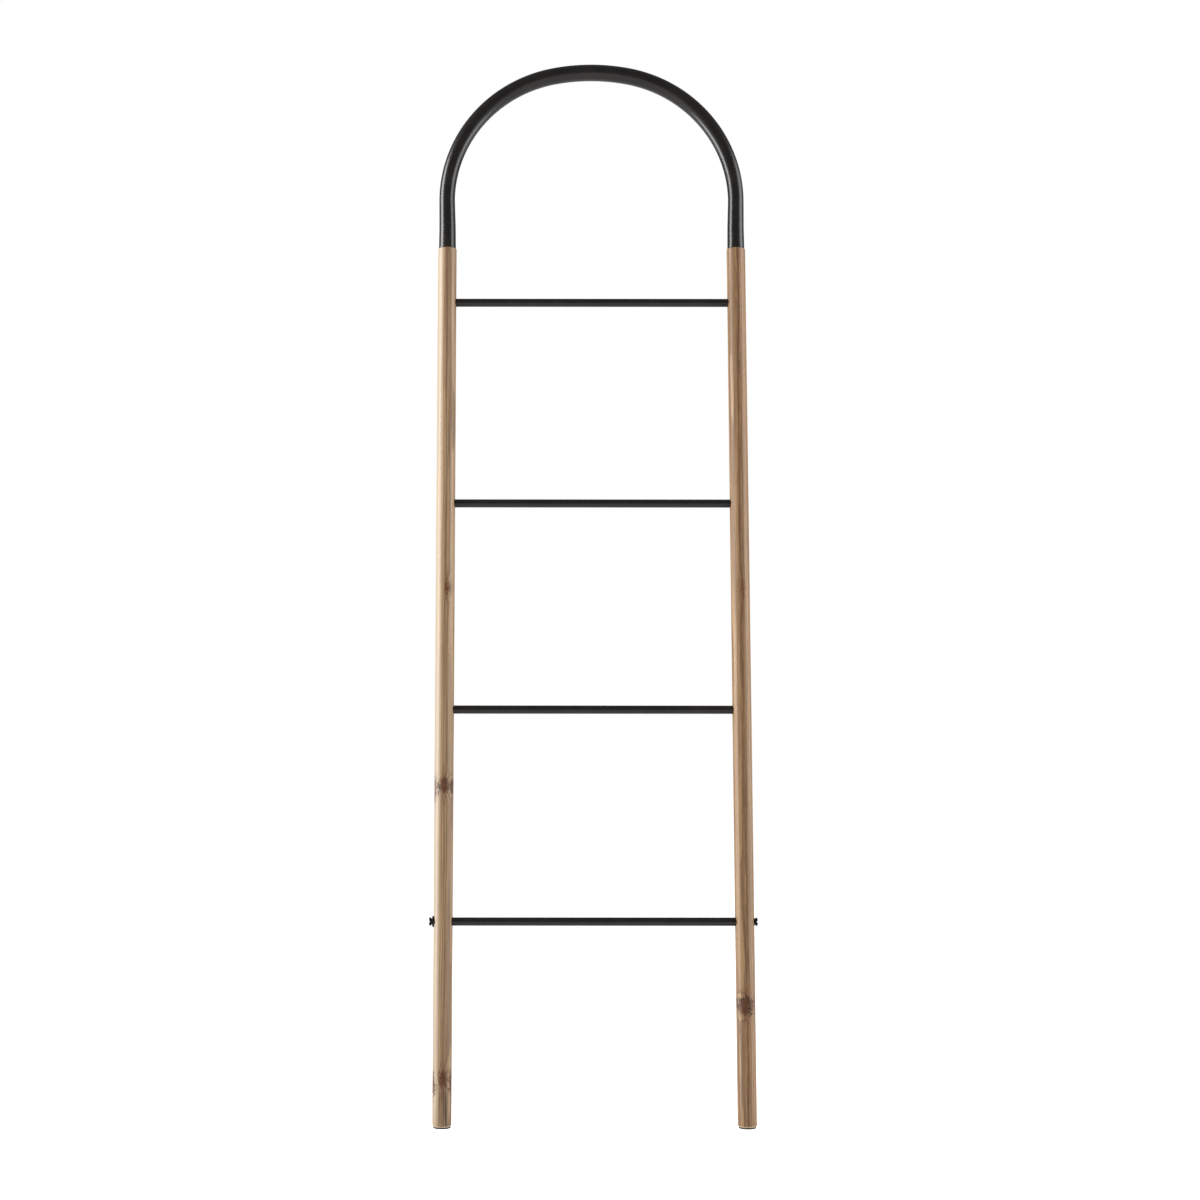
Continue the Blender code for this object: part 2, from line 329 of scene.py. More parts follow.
@dataclass(frozen=True)
class Layer:
    """A pattern that tints a finish: where it shows in its noise, and how strongly."""

    pattern: Pattern
    shows: Step
    strength: float

    def tint(self, noise: Value) -> Value:
        """How much of the tint there is, from this layer's noise."""
        return noise.step(self.shows) * self.strength


# ---------------------------------------------------------------- finishes


@dataclass(frozen=True)
class Place:
    """Where a pattern sits: its own origin and its own turn, in the row frame."""

    origin: Triple = (0.0, 0.0, 0.0)
    turn: Triple = (0.0, 0.0, 0.0)


class Surface:
    """A new material with its Principled shader, in millimetres from the pattern's own place."""

    def __init__(
        self, name: str, place: Place, roughness: float, metallic: float = 0.0, specular: float = 0.5
    ) -> None:
        """Makes the material.

        Args:
            name: the material's name.
            place: where its pattern sits.
            roughness: the shader's even roughness.
            metallic: the shader's metallic value.
            specular: the shader's specular level, which is 0.5 for most finishes.
        """
        self.material = bpy.data.materials.new(name)
        self.material.use_nodes = True
        self.tree = Tree(self.material.node_tree)
        self.shader = self.material.node_tree.nodes["Principled BSDF"]
        self.give("Roughness", roughness)
        self.give("Metallic", metallic)
        self.give("Specular IOR Level", specular)
        coordinates = self.tree.add("ShaderNodeTexCoord")
        mapping = self.tree.add(
            "ShaderNodeMapping",
            {"vector_type": "TEXTURE"},
            {
                "Vector": coordinates.outputs["Object"],
                "Location": place.origin,
                "Rotation": place.turn,
                "Scale": (MM, MM, MM),
            },
        )
        self.mm = mapping.outputs["Vector"]

    def give(self, name: str, value: object) -> None:
        """Links or sets one of the shader's inputs."""
        self.tree.fill(self.shader.inputs[name], value)

    def towards(self, direction: Triple) -> Value:
        """How far a place lies in a direction, in millimetres."""
        return self.tree.measure("DOT_PRODUCT", self.mm, direction)

    def bump(self, height: Value, depth_mm: float, strength: float) -> None:
        """Feeds a height to the shader's normal.

        Args:
            height: the height, from 0 to 1.
            depth_mm: how deep a height of 1 is.
            strength: the bump's strength.
        """
        sockets = {"Height": height, "Distance": depth_mm * MM, "Strength": strength}
        self.give("Normal", self.tree.add("ShaderNodeBump", {}, sockets).outputs["Normal"])


@dataclass(frozen=True)
class Knot:
    """A branch's end in a pole: it runs outwards from the axis, through brown heartwood and dark bark."""

    height: float  # along the pole, in mm
    azimuth: float  # degrees from +X, so that -90 faces the front
    radius: float  # in mm, as cut at the surface
    heart: float  # how brown it is inside
    bark: float  # how dark the ring round it is
    stretch: float = 1.5  # how much longer it is along the pole
    curl: float = 0.0  # how strongly dark rings show inside it
    rings: float = 1.7  # how many of those rings there are

    @property
    def outwards(self) -> Triple:
        """The way the branch runs."""
        angle = math.radians(self.azimuth)
        return (math.cos(angle), math.sin(angle), 0.0)


@dataclass
class KnotMarks:
    """What a pole's knots do to its wood, as masks from 0 to 1 and a push in millimetres."""

    heart: Operand = 0.0
    bark: Operand = 0.0
    resin: Operand = 0.0
    push: Operand = 0.0


@dataclass(frozen=True)
class KnotGrowth:
    """How knots mark the wood round them; distances are shares of a knot's own radius."""

    ragged: Pattern = Pattern(0.34, 0.10, 4.0, 0.68)
    raggedness: float = 1.6  # how far it bends a knot's outline
    spots: Pattern = Pattern(0.42, 0.20, 3.0, 0.65)
    spottiness: float = 2.2  # how far they bend it
    torn: Pattern = Pattern(0.62, 0.13, 4.0, 0.68)
    facing: Step = Step(1.0, 6.0)  # in mm from the pole's axis, on the knot's own side
    inside: Step = Step(0.55, 1.10, 1.0, 0.0)
    heart_gaps: Step = Step(0.46, 0.58, 1.0, 0.45)
    bark_start: Step = Step(0.58, 0.72)
    bark_end: Step = Step(1.00, 1.18, 1.0, 0.0)
    bark_speckle: Step = Step(0.42, 0.54)
    ring_lines: Step = Step(0.45, 0.62)
    ring_speckle: Step = Step(0.0, 1.0, 0.30, 1.0)
    smear: Step = Step(0.4, 1.4, 1.0, 0.0)
    smear_gaps: Step = Step(0.38, 0.60, 1.0, 0.4)
    smear_width: float = 0.62
    smear_stretch: float = 4.0
    smear_tear: float = 1.3  # how far the torn pattern bends the smear
    smear_strength: float = 0.50
    resin_share: float = 0.5  # how much of the resin there is without any bark
    push: float = 0.34  # how far the grain is pushed aside at a knot's middle
    push_start: float = 0.3
    push_end: float = 2.3

    def marks(self, surface: Surface, knots: Sequence[Knot]) -> KnotMarks:
        """Where knots are brown or dark, where resin shines, and how they push the grain aside.

        Args:
            surface: the material being made.
            knots: the pole's knots.

        Returns:
            The marks of all of them together.
        """
        tree = surface.tree
        ragged, torn, spots = (each.on(tree, surface.mm) for each in (self.ragged, self.torn, self.spots))
        bends = (self.raggedness * (ragged - 0.5), self.spottiness * (spots - 0.5))
        speckle = torn.step(self.bark_speckle)
        faint_speckle = speckle.step(self.ring_speckle)
        found = KnotMarks()
        for knot in knots:
            start = tree.vector("SUBTRACT", surface.mm, (0.0, 0.0, knot.height))
            along = tree.measure("DOT_PRODUCT", start, knot.outwards)
            sockets = {0: knot.outwards, "Scale": along}
            stalk = tree.add("ShaderNodeVectorMath", {"operation": "SCALE"}, sockets).outputs["Vector"]
            beside = tree.vector("SUBTRACT", start, stalk)
            facing = along.step(self.facing)
            clean = self._reach(tree, beside, knot.radius, knot.stretch)
            distance = clean + bends[0] + bends[1]
            smear = self._reach(
                tree, beside, self.smear_width * knot.radius, self.smear_stretch * knot.stretch
            )
            smear = smear + self.smear_tear * (torn - 0.5)
            inside = distance.step(self.inside) * facing
            stain = smear.step(self.smear) * spots.step(self.smear_gaps) * facing
            edge = distance.step(self.bark_start) * distance.step(self.bark_end) * facing
            rings = (distance * knot.rings).fraction().step(self.ring_lines) * inside
            dark = edge * speckle * knot.bark + rings * faint_speckle * knot.curl
            brown = inside * torn.step(self.heart_gaps) * knot.heart
            brown = brown + stain * (self.smear_strength * knot.heart)
            resin = inside * (self.resin_share + (1.0 - self.resin_share) * knot.bark)
            push = Step(self.push_start, self.push_end, self.push * knot.radius, 0.0)
            found.heart = brown.at_most(1.0).at_least(found.heart)
            found.bark = dark.at_most(1.0).at_least(found.bark)
            found.resin = resin.at_least(found.resin)
            found.push = clean.step(push) * facing + found.push
        return found

    @staticmethod
    def _reach(tree: Tree, beside: bpy.types.NodeSocket, radius: float, stretch: float) -> Value:
        """How far a place is from a knot's middle.

        Args:
            tree: the material's tree.
            beside: the place, square to the knot's axis.
            radius: the knot's radius.
            stretch: how much longer the knot is along the pole.

        Returns:
            The distance, as a share of the radius.
        """
        return tree.measure("LENGTH", tree.vector("MULTIPLY", beside, (1.0, 1.0, 1.0 / stretch))) / radius


@dataclass(frozen=True)
class GrowthRings:
    """Growth rings: pale early wood that darkens slowly and ends in a sharp dark line. Sizes are in mm."""

    pith: Point  # the tree's middle, across the pole, from its axis
    width: float = 2.7
    sway: Pattern = Pattern(0.03, 0.0022)
    sway_size: float = 9.0
    wave: Pattern = Pattern(0.12, 0.009, 1.0)
    wave_size: float = 1.4
    darkening: Step = Step(0.25, 0.86)
    end: Step = Step(0.90, 0.99, 1.0, 0.0)

    def mask(self, surface: Surface, at: bpy.types.NodeSocket, push: Operand) -> Value:
        """How far a place is towards late wood.

        Args:
            surface: the material being made.
            at: the shifted coordinates.
            push: how far knots push the rings outwards.

        Returns:
            0 in early wood, 1 in late wood.
        """
        tree = surface.tree
        across = tree.vector("MULTIPLY", surface.mm, (1.0, 1.0, 0.0))
        away = tree.measure("LENGTH", tree.vector("SUBTRACT", across, (*self.pith, 0.0)))
        bent = away + self.sway_size * self.sway.on(tree, at) + self.wave_size * self.wave.on(tree, at)
        turn = ((bent + push) / self.width).fraction()
        return turn.step(self.darkening) * turn.step(self.end)


@dataclass(frozen=True)
class StreakAndShadeStripe:
    """A darker stripe that wanders down the front of a pole: partly a brown streak in the wood, partly
    painted shade where the side lights leave the front unlit. Sizes are in mm.
    """

    wander: Pattern = Pattern(0.02, 0.014, 3.0)
    wander_size: float = 9.0
    side: Step = Step(1.0, 5.5, 1.0, 0.0)  # from the stripe's middle
    fray: Pattern = Pattern(0.60, 0.035, 3.0, 0.6)
    gaps: Step = Step(0.36, 0.60)
    front: Step = Step(0.0, 8.0)  # forwards from the pole's axis, which keeps the painted shade on the unlit front

    def mask(self, surface: Surface, at: bpy.types.NodeSocket) -> Value:
        """Where the stripe is.

        Args:
            surface: the material being made.
            at: the shifted coordinates.

        Returns:
            1 in the stripe, 0 elsewhere.
        """
        wander = self.wander_size * (self.wander.on(surface.tree, at) - 0.5)
        stripe = (surface.towards(RIGHTWARDS) + wander).size().step(self.side)
        frayed = self.fray.on(surface.tree, at).step(self.gaps)
        return stripe * frayed * surface.towards(FORWARDS).step(self.front)


@dataclass(frozen=True)
class FootStain:
    """Thin dark lines in the grain of a pole's lowest part. Sizes are in mm."""

    threads: Pattern = Pattern(0.50, 0.006)
    lines: Step = Step(0.50, 0.56)
    low: Step = Step(48.0, 64.0, 1.0, 0.0)  # along the pole
    inner: Step = Step(-8.0, -2.0)  # across the pole

    def mask(self, surface: Surface, at: bpy.types.NodeSocket) -> Value:
        """Where the lines are.

        Args:
            surface: the material being made.
            at: the shifted coordinates.

        Returns:
            1 in the lines, 0 elsewhere.
        """
        lines = self.threads.on(surface.tree, at).step(self.lines)
        low = surface.towards(UPWARDS).step(self.low)
        return lines * low * surface.towards(RIGHTWARDS).step(self.inner)


@dataclass(frozen=True)
class OiledSoftwood:
    """Straight-grained softwood under a thin satin oil, with growth rings, fine streaks and knots."""

    name: str
    place: Place
    rings: GrowthRings
    shift: float  # moves the random patterns along, so that no two poles match
    knots: tuple[Knot, ...]
    ring_strength: float = 0.66
    stained_foot: float = 0.0  # how dark the lines in the foot's grain are
    streak_and_shade: float = 0.0  # how dark the stripe down the front is: a brown streak with painted shade
    pale_side: float = 0.0  # how strong the painted sheen is on the -X side, the side towards the left softbox
    pale_reach: Step = Step(2.0, 13.0)  # in mm towards that side
    foot_edge: Step = Step(3.7, 4.6, 0.85, 0.0)  # in mm above the floor, where the pale chamfer ends: pale end grain with a painted highlight from the floor's bounce light
    early_wood: Colour = (0.505, 0.340, 0.194)
    late_wood: Colour = (0.205, 0.112, 0.053)
    streak: Colour = (0.130, 0.070, 0.038)
    heartwood: Colour = (0.150, 0.052, 0.016)
    bark: Colour = (0.032, 0.011, 0.006)
    # pale end grain with a painted highlight from the floor's bounce light
    end_grain_and_highlight: Colour = (0.640, 0.510, 0.350)
    # painted sheen: a paler, whiter wood colour where the left softbox's reflection falls
    painted_sheen: Colour = (0.385, 0.310, 0.222)
    stain: Colour = (0.070, 0.042, 0.028)
    # a brown streak's colour, also used as painted shade down the unlit front
    streak_and_shade_colour: Colour = (0.150, 0.070, 0.034)
    broad: Layer = Layer(Pattern(0.09, 0.0030), Step(0.40, 0.68), 0.26)
    bands: Layer = Layer(Pattern(0.34, 0.0022), Step(0.46, 0.66), 0.42)
    streaks: Layer = Layer(Pattern(0.66, 0.009, 4.0, 0.62), Step(0.47, 0.66), 0.50)
    fibres: Layer = Layer(Pattern(3.2, 0.10, 3.0, 0.6), Step(0.46, 0.70), 0.36)
    flecks: Layer = Layer(Pattern(1.1, 0.32, 2.0, 0.6), Step(0.50, 0.68), 0.26)
    roughness: float = 0.40
    fibre_roughness: float = 0.10
    ring_roughness: float = 0.05
    resin_gloss: float = 0.06
    bark_roughness: float = 0.25
    specular: float = 0.45
    fibre_relief: float = 0.50
    streak_relief: float = 0.25
    ring_hollow: float = 0.30
    resin_relief: float = 0.6
    bark_hollow: float = 0.2
    relief_depth: float = 0.12  # in mm
    relief_strength: float = 0.5

    def make(self) -> bpy.types.Material:
        """The finished material."""
        surface = Surface(self.name, self.place, self.roughness, specular=self.specular)
        tree = surface.tree
        at = tree.vector("ADD", surface.mm, (self.shift, -self.shift, 3.0 * self.shift))
        knots = KnotGrowth().marks(surface, self.knots)
        rings = self.rings.mask(surface, at, knots.push)
        streaks, fibres, flecks = (
            layer.pattern.on(tree, at) for layer in (self.streaks, self.fibres, self.flecks)
        )
        colour = tree.blend(rings * self.ring_strength, self.early_wood, self.late_wood)
        for layer in (self.broad, self.bands):
            colour = tree.blend(layer.tint(layer.pattern.on(tree, at)), colour, self.late_wood)
        for layer, noise in ((self.streaks, streaks), (self.fibres, fibres), (self.flecks, flecks)):
            colour = tree.blend(layer.tint(noise), colour, self.streak)
        lean = -self.place.turn[0]
        above_floor = surface.towards((0.0, -math.sin(lean), math.cos(lean)))
        for share, tone in (
            # painted sheen on the -X side, towards the left softbox
            (surface.towards(LEFTWARDS).step(self.pale_reach) * self.pale_side, self.painted_sheen),
            # a brown streak with painted shade down the unlit front
            (StreakAndShadeStripe().mask(surface, at) * self.streak_and_shade, self.streak_and_shade_colour),
            (FootStain().mask(surface, at) * self.stained_foot, self.stain),
            (knots.heart, self.heartwood),
            (knots.bark, self.bark),
            # painted highlight with pale end grain on the foot's chamfer, by height above the floor
            (above_floor.step(self.foot_edge), self.end_grain_and_highlight),
        ):
            colour = tree.blend(share, colour, tone)
        surface.give("Base Color", colour)
        worn = self.roughness + self.fibre_roughness * (fibres - 0.5) + self.ring_roughness * rings
        worn = worn - self.resin_gloss * knots.resin + self.bark_roughness * knots.bark
        surface.give("Roughness", worn)
        relief = self.fibre_relief * fibres + self.streak_relief * streaks - self.ring_hollow * rings
        relief = relief + self.resin_relief * knots.resin - self.bark_hollow * knots.bark
        surface.bump(relief, self.relief_depth, self.relief_strength)
        return surface.material


@dataclass(frozen=True)
class PowderCoating:
    """Satin black powder coating: a fine orange peel with small pits and a slight brown cast."""

    name: str
    colour: Colour = (0.0064, 0.0049, 0.0043)
    speckle: Colour = (0.036, 0.030, 0.027)
    peel: Pattern = Pattern(0.55)
    grit: Layer = Layer(Pattern(2.6, detail=3.0, rough=0.65), Step(0.56, 0.72), 0.70)
    patches: Layer = Layer(Pattern(0.035), Step(0.40, 0.66), 0.16)
    roughness: float = 0.27
    grit_roughness: float = 0.16
    patch_roughness: float = 0.06
    peel_share: float = 0.7  # of the relief; the grit has the rest
    relief_depth: float = 0.10  # in mm
    relief_strength: float = 0.60

    def make(self) -> bpy.types.Material:
        """The finished material."""
        surface = Surface(self.name, Place(), self.roughness)
        tree = surface.tree
        peel, grit, patches = (
            each.on(tree, surface.mm) for each in (self.peel, self.grit.pattern, self.patches.pattern)
        )
        colour = tree.blend(self.grit.tint(grit), self.colour, self.speckle)
        surface.give("Base Color", tree.blend(self.patches.tint(patches), colour, self.speckle))
        uneven = self.grit_roughness * (grit - 0.5)
        surface.give("Roughness", self.roughness + uneven + self.patch_roughness * (patches - 0.5))
        relief = self.peel_share * peel + (1.0 - self.peel_share) * grit
        surface.bump(relief, self.relief_depth, self.relief_strength)
        return surface.material


@dataclass(frozen=True)
class TreatedSteel:
    """Steel with a blackened or plated skin whose colour and gloss are uneven."""

    name: str
    colour: Colour
    other_colour: Colour
    mottle: Layer
    roughness: float
    unevenness: float
    metallic: float
    grain: Pattern
    grain_depth: float  # in mm
    grain_strength: float = 0.4

    def make(self) -> bpy.types.Material:
        """The finished material."""
        surface = Surface(self.name, Place(), self.roughness, self.metallic)
        tree = surface.tree
        mottle = self.mottle.pattern.on(tree, surface.mm)
        surface.give("Base Color", tree.blend(self.mottle.tint(mottle), self.colour, self.other_colour))
        surface.give("Roughness", self.roughness + self.unevenness * (mottle - 0.5))
        surface.bump(self.grain.on(tree, surface.mm), self.grain_depth, self.grain_strength)
        return surface.material


# A black oxide finish that is rubbed brighter on its high spots.
BLACK_OXIDE = TreatedSteel(
    name="black_oxide_steel",
    colour=(0.020, 0.019, 0.019),
    other_colour=(0.115, 0.108, 0.102),
    mottle=Layer(Pattern(0.9, detail=4.0, rough=0.6), Step(0.52, 0.78), 0.6),
    roughness=0.34,
    unevenness=0.25,
    metallic=0.75,
    grain=Pattern(6.0),
    grain_depth=0.02,
)

# Bright zinc plating with cloudy passivation.
BRIGHT_ZINC = TreatedSteel(
    name="bright_zinc",
    colour=(0.56, 0.57, 0.58),
    other_colour=(0.50, 0.47, 0.36),
    mottle=Layer(Pattern(0.35, detail=3.0), Step(0.4, 0.7), 0.7),
    roughness=0.30,
    unevenness=0.2,
    metallic=1.0,
    grain=Pattern(5.0),
    grain_depth=0.01,
)


@dataclass(frozen=True)
class PadRubber:
    """Dull black rubber with a moulded grain and a little floor dust."""

    name: str
    colour: Colour = (0.016, 0.0155, 0.015)
    dust: Colour = (0.085, 0.080, 0.072)
    grain: Pattern = Pattern(1.8, detail=3.0)
    dusting: Layer = Layer(Pattern(0.25, detail=3.0), Step(0.48, 0.75), 0.5)
    roughness: float = 0.82
    unevenness: float = 0.15
    grain_depth: float = 0.08  # in mm
    grain_strength: float = 0.6

    def make(self) -> bpy.types.Material:
        """The finished material."""
        surface = Surface(self.name, Place(), self.roughness)
        tree = surface.tree
        grain, dusty = (each.on(tree, surface.mm) for each in (self.grain, self.dusting.pattern))
        surface.give("Base Color", tree.blend(self.dusting.tint(dusty), self.colour, self.dust))
        surface.give("Roughness", self.roughness + self.unevenness * (grain - 0.5))
        surface.bump(grain, self.grain_depth, self.grain_strength)
        return surface.material


# ---------------------------------------------------------------- shapes


def linked(name: str, mesh: bpy.types.Mesh) -> bpy.types.Object:
    """A new object in the scene.

    Args:
        name: the object's name.
        mesh: its mesh.

    Returns:
        The object.
    """
    obj = bpy.data.objects.new(name, mesh)
    bpy.context.scene.collection.objects.link(obj)
    return obj


def settled(obj: bpy.types.Object) -> bpy.types.Object:
    """Turns what an object's modifiers make into its plain mesh.

    Args:
        obj: the object.

    Returns:
        The same object, without modifiers.
    """
    graph = bpy.context.evaluated_depsgraph_get()
    mesh = bpy.data.meshes.new_from_object(obj.evaluated_get(graph))
    obj.modifiers.clear()
    old = obj.data
    obj.data = mesh
    bpy.data.meshes.remove(old)
    return obj


def solid(name: str, shape: bmesh.types.BMesh) -> bpy.types.Object:
    """A new object in the scene from a finished shape, with its faces outwards.

    Args:
        name: the object's name.
        shape: the shape, which is freed.

    Returns:
        The object.
    """
    # mostly painted shade down the unlit front
    bmesh.ops.recalc_face_normals(shape, faces=shape.faces)
    # painted sheen on the side towards the left softbox
    mesh = bpy.data.meshes.new(name)
    shape.to_mesh(mesh)
    shape.free()
    return linked(name, mesh)


def smooth(obj: bpy.types.Object, sharp_above: float = 32.0) -> None:
    """Shades an object smooth, apart from its sharp edges.

    Args:
        obj: the object.
        sharp_above: the angle in degrees past which an edge stays sharp.
    """
    obj.data.shade_smooth()
    # a brown streak with painted shade down the unlit front
    obj.data.set_sharp_from_angle(angle=math.radians(sharp_above))


def rounded(corner: Point, before: Point, after: Point, size: float) -> list[Point]:
    """A corner of an outline, rounded off.

    Args:
        corner: the sharp corner.
        before: the outline's point before it.
        after: the outline's point after it.
        size: how far the rounding reaches along each side.

    Returns:
        The points that replace the corner.
    """
    here = Vector(corner)
    start = here + (Vector(before) - here).normalized() * size
    end = here + (Vector(after) - here).normalized() * size
    points = []
    for step in range(ROUND_STEPS + 1):
        share = step / ROUND_STEPS
        point = start.lerp(here, share).lerp(here.lerp(end, share), share)
        points.append((point.x, point.y))
    return points


def outline(points: Sequence[Point], rounds: dict[int, float]) -> list[Point]:
    """An open outline with some of its corners rounded.

    Args:
        points: its corners, in order.
        rounds: the size of each rounding, by the corner's index.

    Returns:
        The outline's points.
    """
    made: list[Point] = []
    for index, point in enumerate(points):
        if index in rounds:
            before, after = points[index - 1], points[(index + 1) % len(points)]
            made += rounded(point, before, after, rounds[index])
        else:
            made.append(point)
    return made


def lathe(name: str, profile: Sequence[Point], sides: int, ring: bool = False) -> bpy.types.Object:
    """A shape turned about its own Z.

    Args:
        name: the object's name.
        profile: (radius, height) points; a ring's are a closed loop off the axis.
        sides: how many steps a full turn has.
        ring: whether the profile is closed.

    Returns:
        The turned object.
    """
    shape = bmesh.new()
    points = [shape.verts.new((radius, 0.0, height)) for radius, height in profile]
    edges = [shape.edges.new(pair) for pair in zip(points, points[1:])]
    if ring:
        edges.append(shape.edges.new((points[-1], points[0])))
    bmesh.ops.spin(
        shape,
        geom=points + edges,
        axis=(0.0, 0.0, 1.0),
        cent=(0.0, 0.0, 0.0),
        angle=math.tau,
        steps=sides,
        use_merge=True,
    )
    bmesh.ops.remove_doubles(shape, verts=shape.verts, dist=MERGE_DISTANCE)
    return solid(name, shape)


def box(name: str, size: Triple) -> bpy.types.Object:
    """A box about its own middle, for cutting slots.

    Args:
        name: the object's name.
        size: its three sides.

    Returns:
        The box.
    """
    shape = bmesh.new()
    bmesh.ops.create_cube(shape, size=1.0)
    bmesh.ops.scale(shape, vec=size, verts=shape.verts)
    return solid(name, shape)


def cross(name: str, width: float, reach: float, depth: float) -> bpy.types.Object:
    """A prism with a plus-shaped section, for cutting a cross recess.

    Args:
        name: the object's name.
        width: how wide its arms are.
        reach: how long it is from tip to tip.
        depth: how tall it is, about its own middle.

    Returns:
        The prism.
    """
    near, far = width / 2, reach / 2
    quarter = [(near, near), (near, far), (-near, far)]
    ring = []
    for turn in range(4):
        spin = Matrix.Rotation(turn * math.pi / 2, 2)
        ring += [spin @ Vector(point) for point in quarter]
    shape = bmesh.new()
    base = shape.faces.new([shape.verts.new((point.x, point.y, -depth / 2)) for point in ring])
    risen = bmesh.ops.extrude_face_region(shape, geom=[base])
    lifted = [item for item in risen["geom"] if isinstance(item, bmesh.types.BMVert)]
    bmesh.ops.translate(shape, vec=(0.0, 0.0, depth), verts=lifted)
    return solid(name, shape)


def cut(obj: bpy.types.Object, cutters: Sequence[bpy.types.Object]) -> None:
    """Cuts shapes out of an object, and removes the cutters.

    Args:
        obj: the object that is cut.
        cutters: the shapes to take away.
    """
    for cutter in cutters:
        boolean = obj.modifiers.new(cutter.name, "BOOLEAN")
        boolean.operation = "DIFFERENCE"
        boolean.solver = "EXACT"
        boolean.object = cutter
    settled(obj)
    for cutter in cutters:
        bpy.data.objects.remove(cutter, do_unlink=True)


def drill(name: str, radius: float, reach: Point, sides: int = HOLE_SIDES) -> bpy.types.Object:
    """A round cutter along its own Z.

    Args:
        name: the object's name.
        radius: the hole's radius.
        reach: where the cutter starts and ends.
        sides: how many faces go round it.

    Returns:
        The cutter.
    """
    start, end = reach
    return lathe(name, [(0.0, end), (radius, end), (radius, start), (0.0, start)], sides)


def walled(obj: bpy.types.Object, thickness: float) -> None:
    """Gives a thin tube its wall, inwards from its skin.

    Args:
        obj: the tube's outer skin.
        thickness: the wall's thickness.
    """
    wall = obj.modifiers.new("Wall", "SOLIDIFY")
    wall.thickness = thickness
    wall.offset = -1.0
    settled(obj)


def soften(obj: bpy.types.Object, width: float, above: float = 50.0) -> None:
    """Rounds an object's sharp edges with a Bevel.

    Args:
        obj: the object.
        width: how wide the rounding is.
        above: the edge angle in degrees from which it applies.
    """
    bevel = obj.modifiers.new("Rounded edges", "BEVEL")
    bevel.width = width
    bevel.segments = BEVEL_STRIPS
    bevel.limit_method = "ANGLE"
    bevel.angle_limit = math.radians(above)
    bevel.harden_normals = False
    settled(obj)


def finish_piece(
    obj: bpy.types.Object, material: bpy.types.Material, replaced: Sequence[str]
) -> None:
    """Gives a piece its material, and tells the frame what it rides on and stands for.

    Args:
        obj: the piece, with its place in its mesh.
        material: its material.
        replaced: the frame's nodes that it stands for.
    """
    obj.data.materials.clear()
    obj.data.materials.append(material)
    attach(obj, BODY)
    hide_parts(*replaced)
    LOG.info("%s: %d faces", obj.name, len(obj.data.polygons))


# ---------------------------------------------------------------- the ladder's own plane


@dataclass
class LadderPlane:
    """The leaning plane that holds the poles: x across, y behind it and z along the poles from the floor."""

    foot: Vector = field(init=False)
    lean: float = field(init=False)
    half_spacing: float = field(init=False)
    pole_radius: float = field(init=False)

    def __post_init__(self) -> None:
        """Reads the plane from the frame: the rungs give its lean, and the poles its width."""
        lowest, top = (self._middle(name) for name in ("lowest_rung", "top_rung"))
        rise = top - lowest
        self.lean = math.atan2(rise.y, rise.z)
        on_floor = lowest - rise * (lowest.z / rise.z)
        left, right = (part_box(f"{side.label}_pole") for side in Side)
        self.foot = Vector(((left[0].x + right[1].x) / 2, on_floor.y, 0.0))
        self.pole_radius = (left[1].x - left[0].x) / 2
        self.half_spacing = (right[1].x - left[0].x) / 2 - self.pole_radius

    @staticmethod
    def _middle(node: str) -> Vector:
        """The middle of a node's box."""
        low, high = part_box(node)
        return (low + high) / 2

    @property
    def matrix(self) -> Matrix:
        """From the plane's own coordinates to the row frame."""
        return Matrix.Translation(self.foot) @ Matrix.Rotation(-self.lean, 4, "X")

    def height_of(self, node: str) -> float:
        """How far up along the poles a rung lies."""
        return self._middle(node).z / math.cos(self.lean)

    def put(
        self, obj: bpy.types.Object, at: Triple = (0.0, 0.0, 0.0), turn: Euler | None = None
    ) -> None:
        """Places a piece in the plane, and applies its place to its mesh.

        Args:
            obj: the piece, about its own origin.
            at: where that origin goes in the plane.
            turn: how the piece is turned before that.
        """
        turned = (turn or Euler()).to_matrix().to_4x4()
        obj.data.transform(self.matrix @ Matrix.Translation(at) @ turned)
        obj.data.update()

    def grain(self, x: float) -> Place:
        """The place of a pattern that follows a pole at this x."""
        origin = self.matrix @ Vector((x, 0.0, 0.0))
        return Place(tuple(origin), (-self.lean, 0.0, 0.0))

    def pole_x(self, side: Side) -> float:
        """Where a pole's axis lies across the plane."""
        return side.value * self.half_spacing


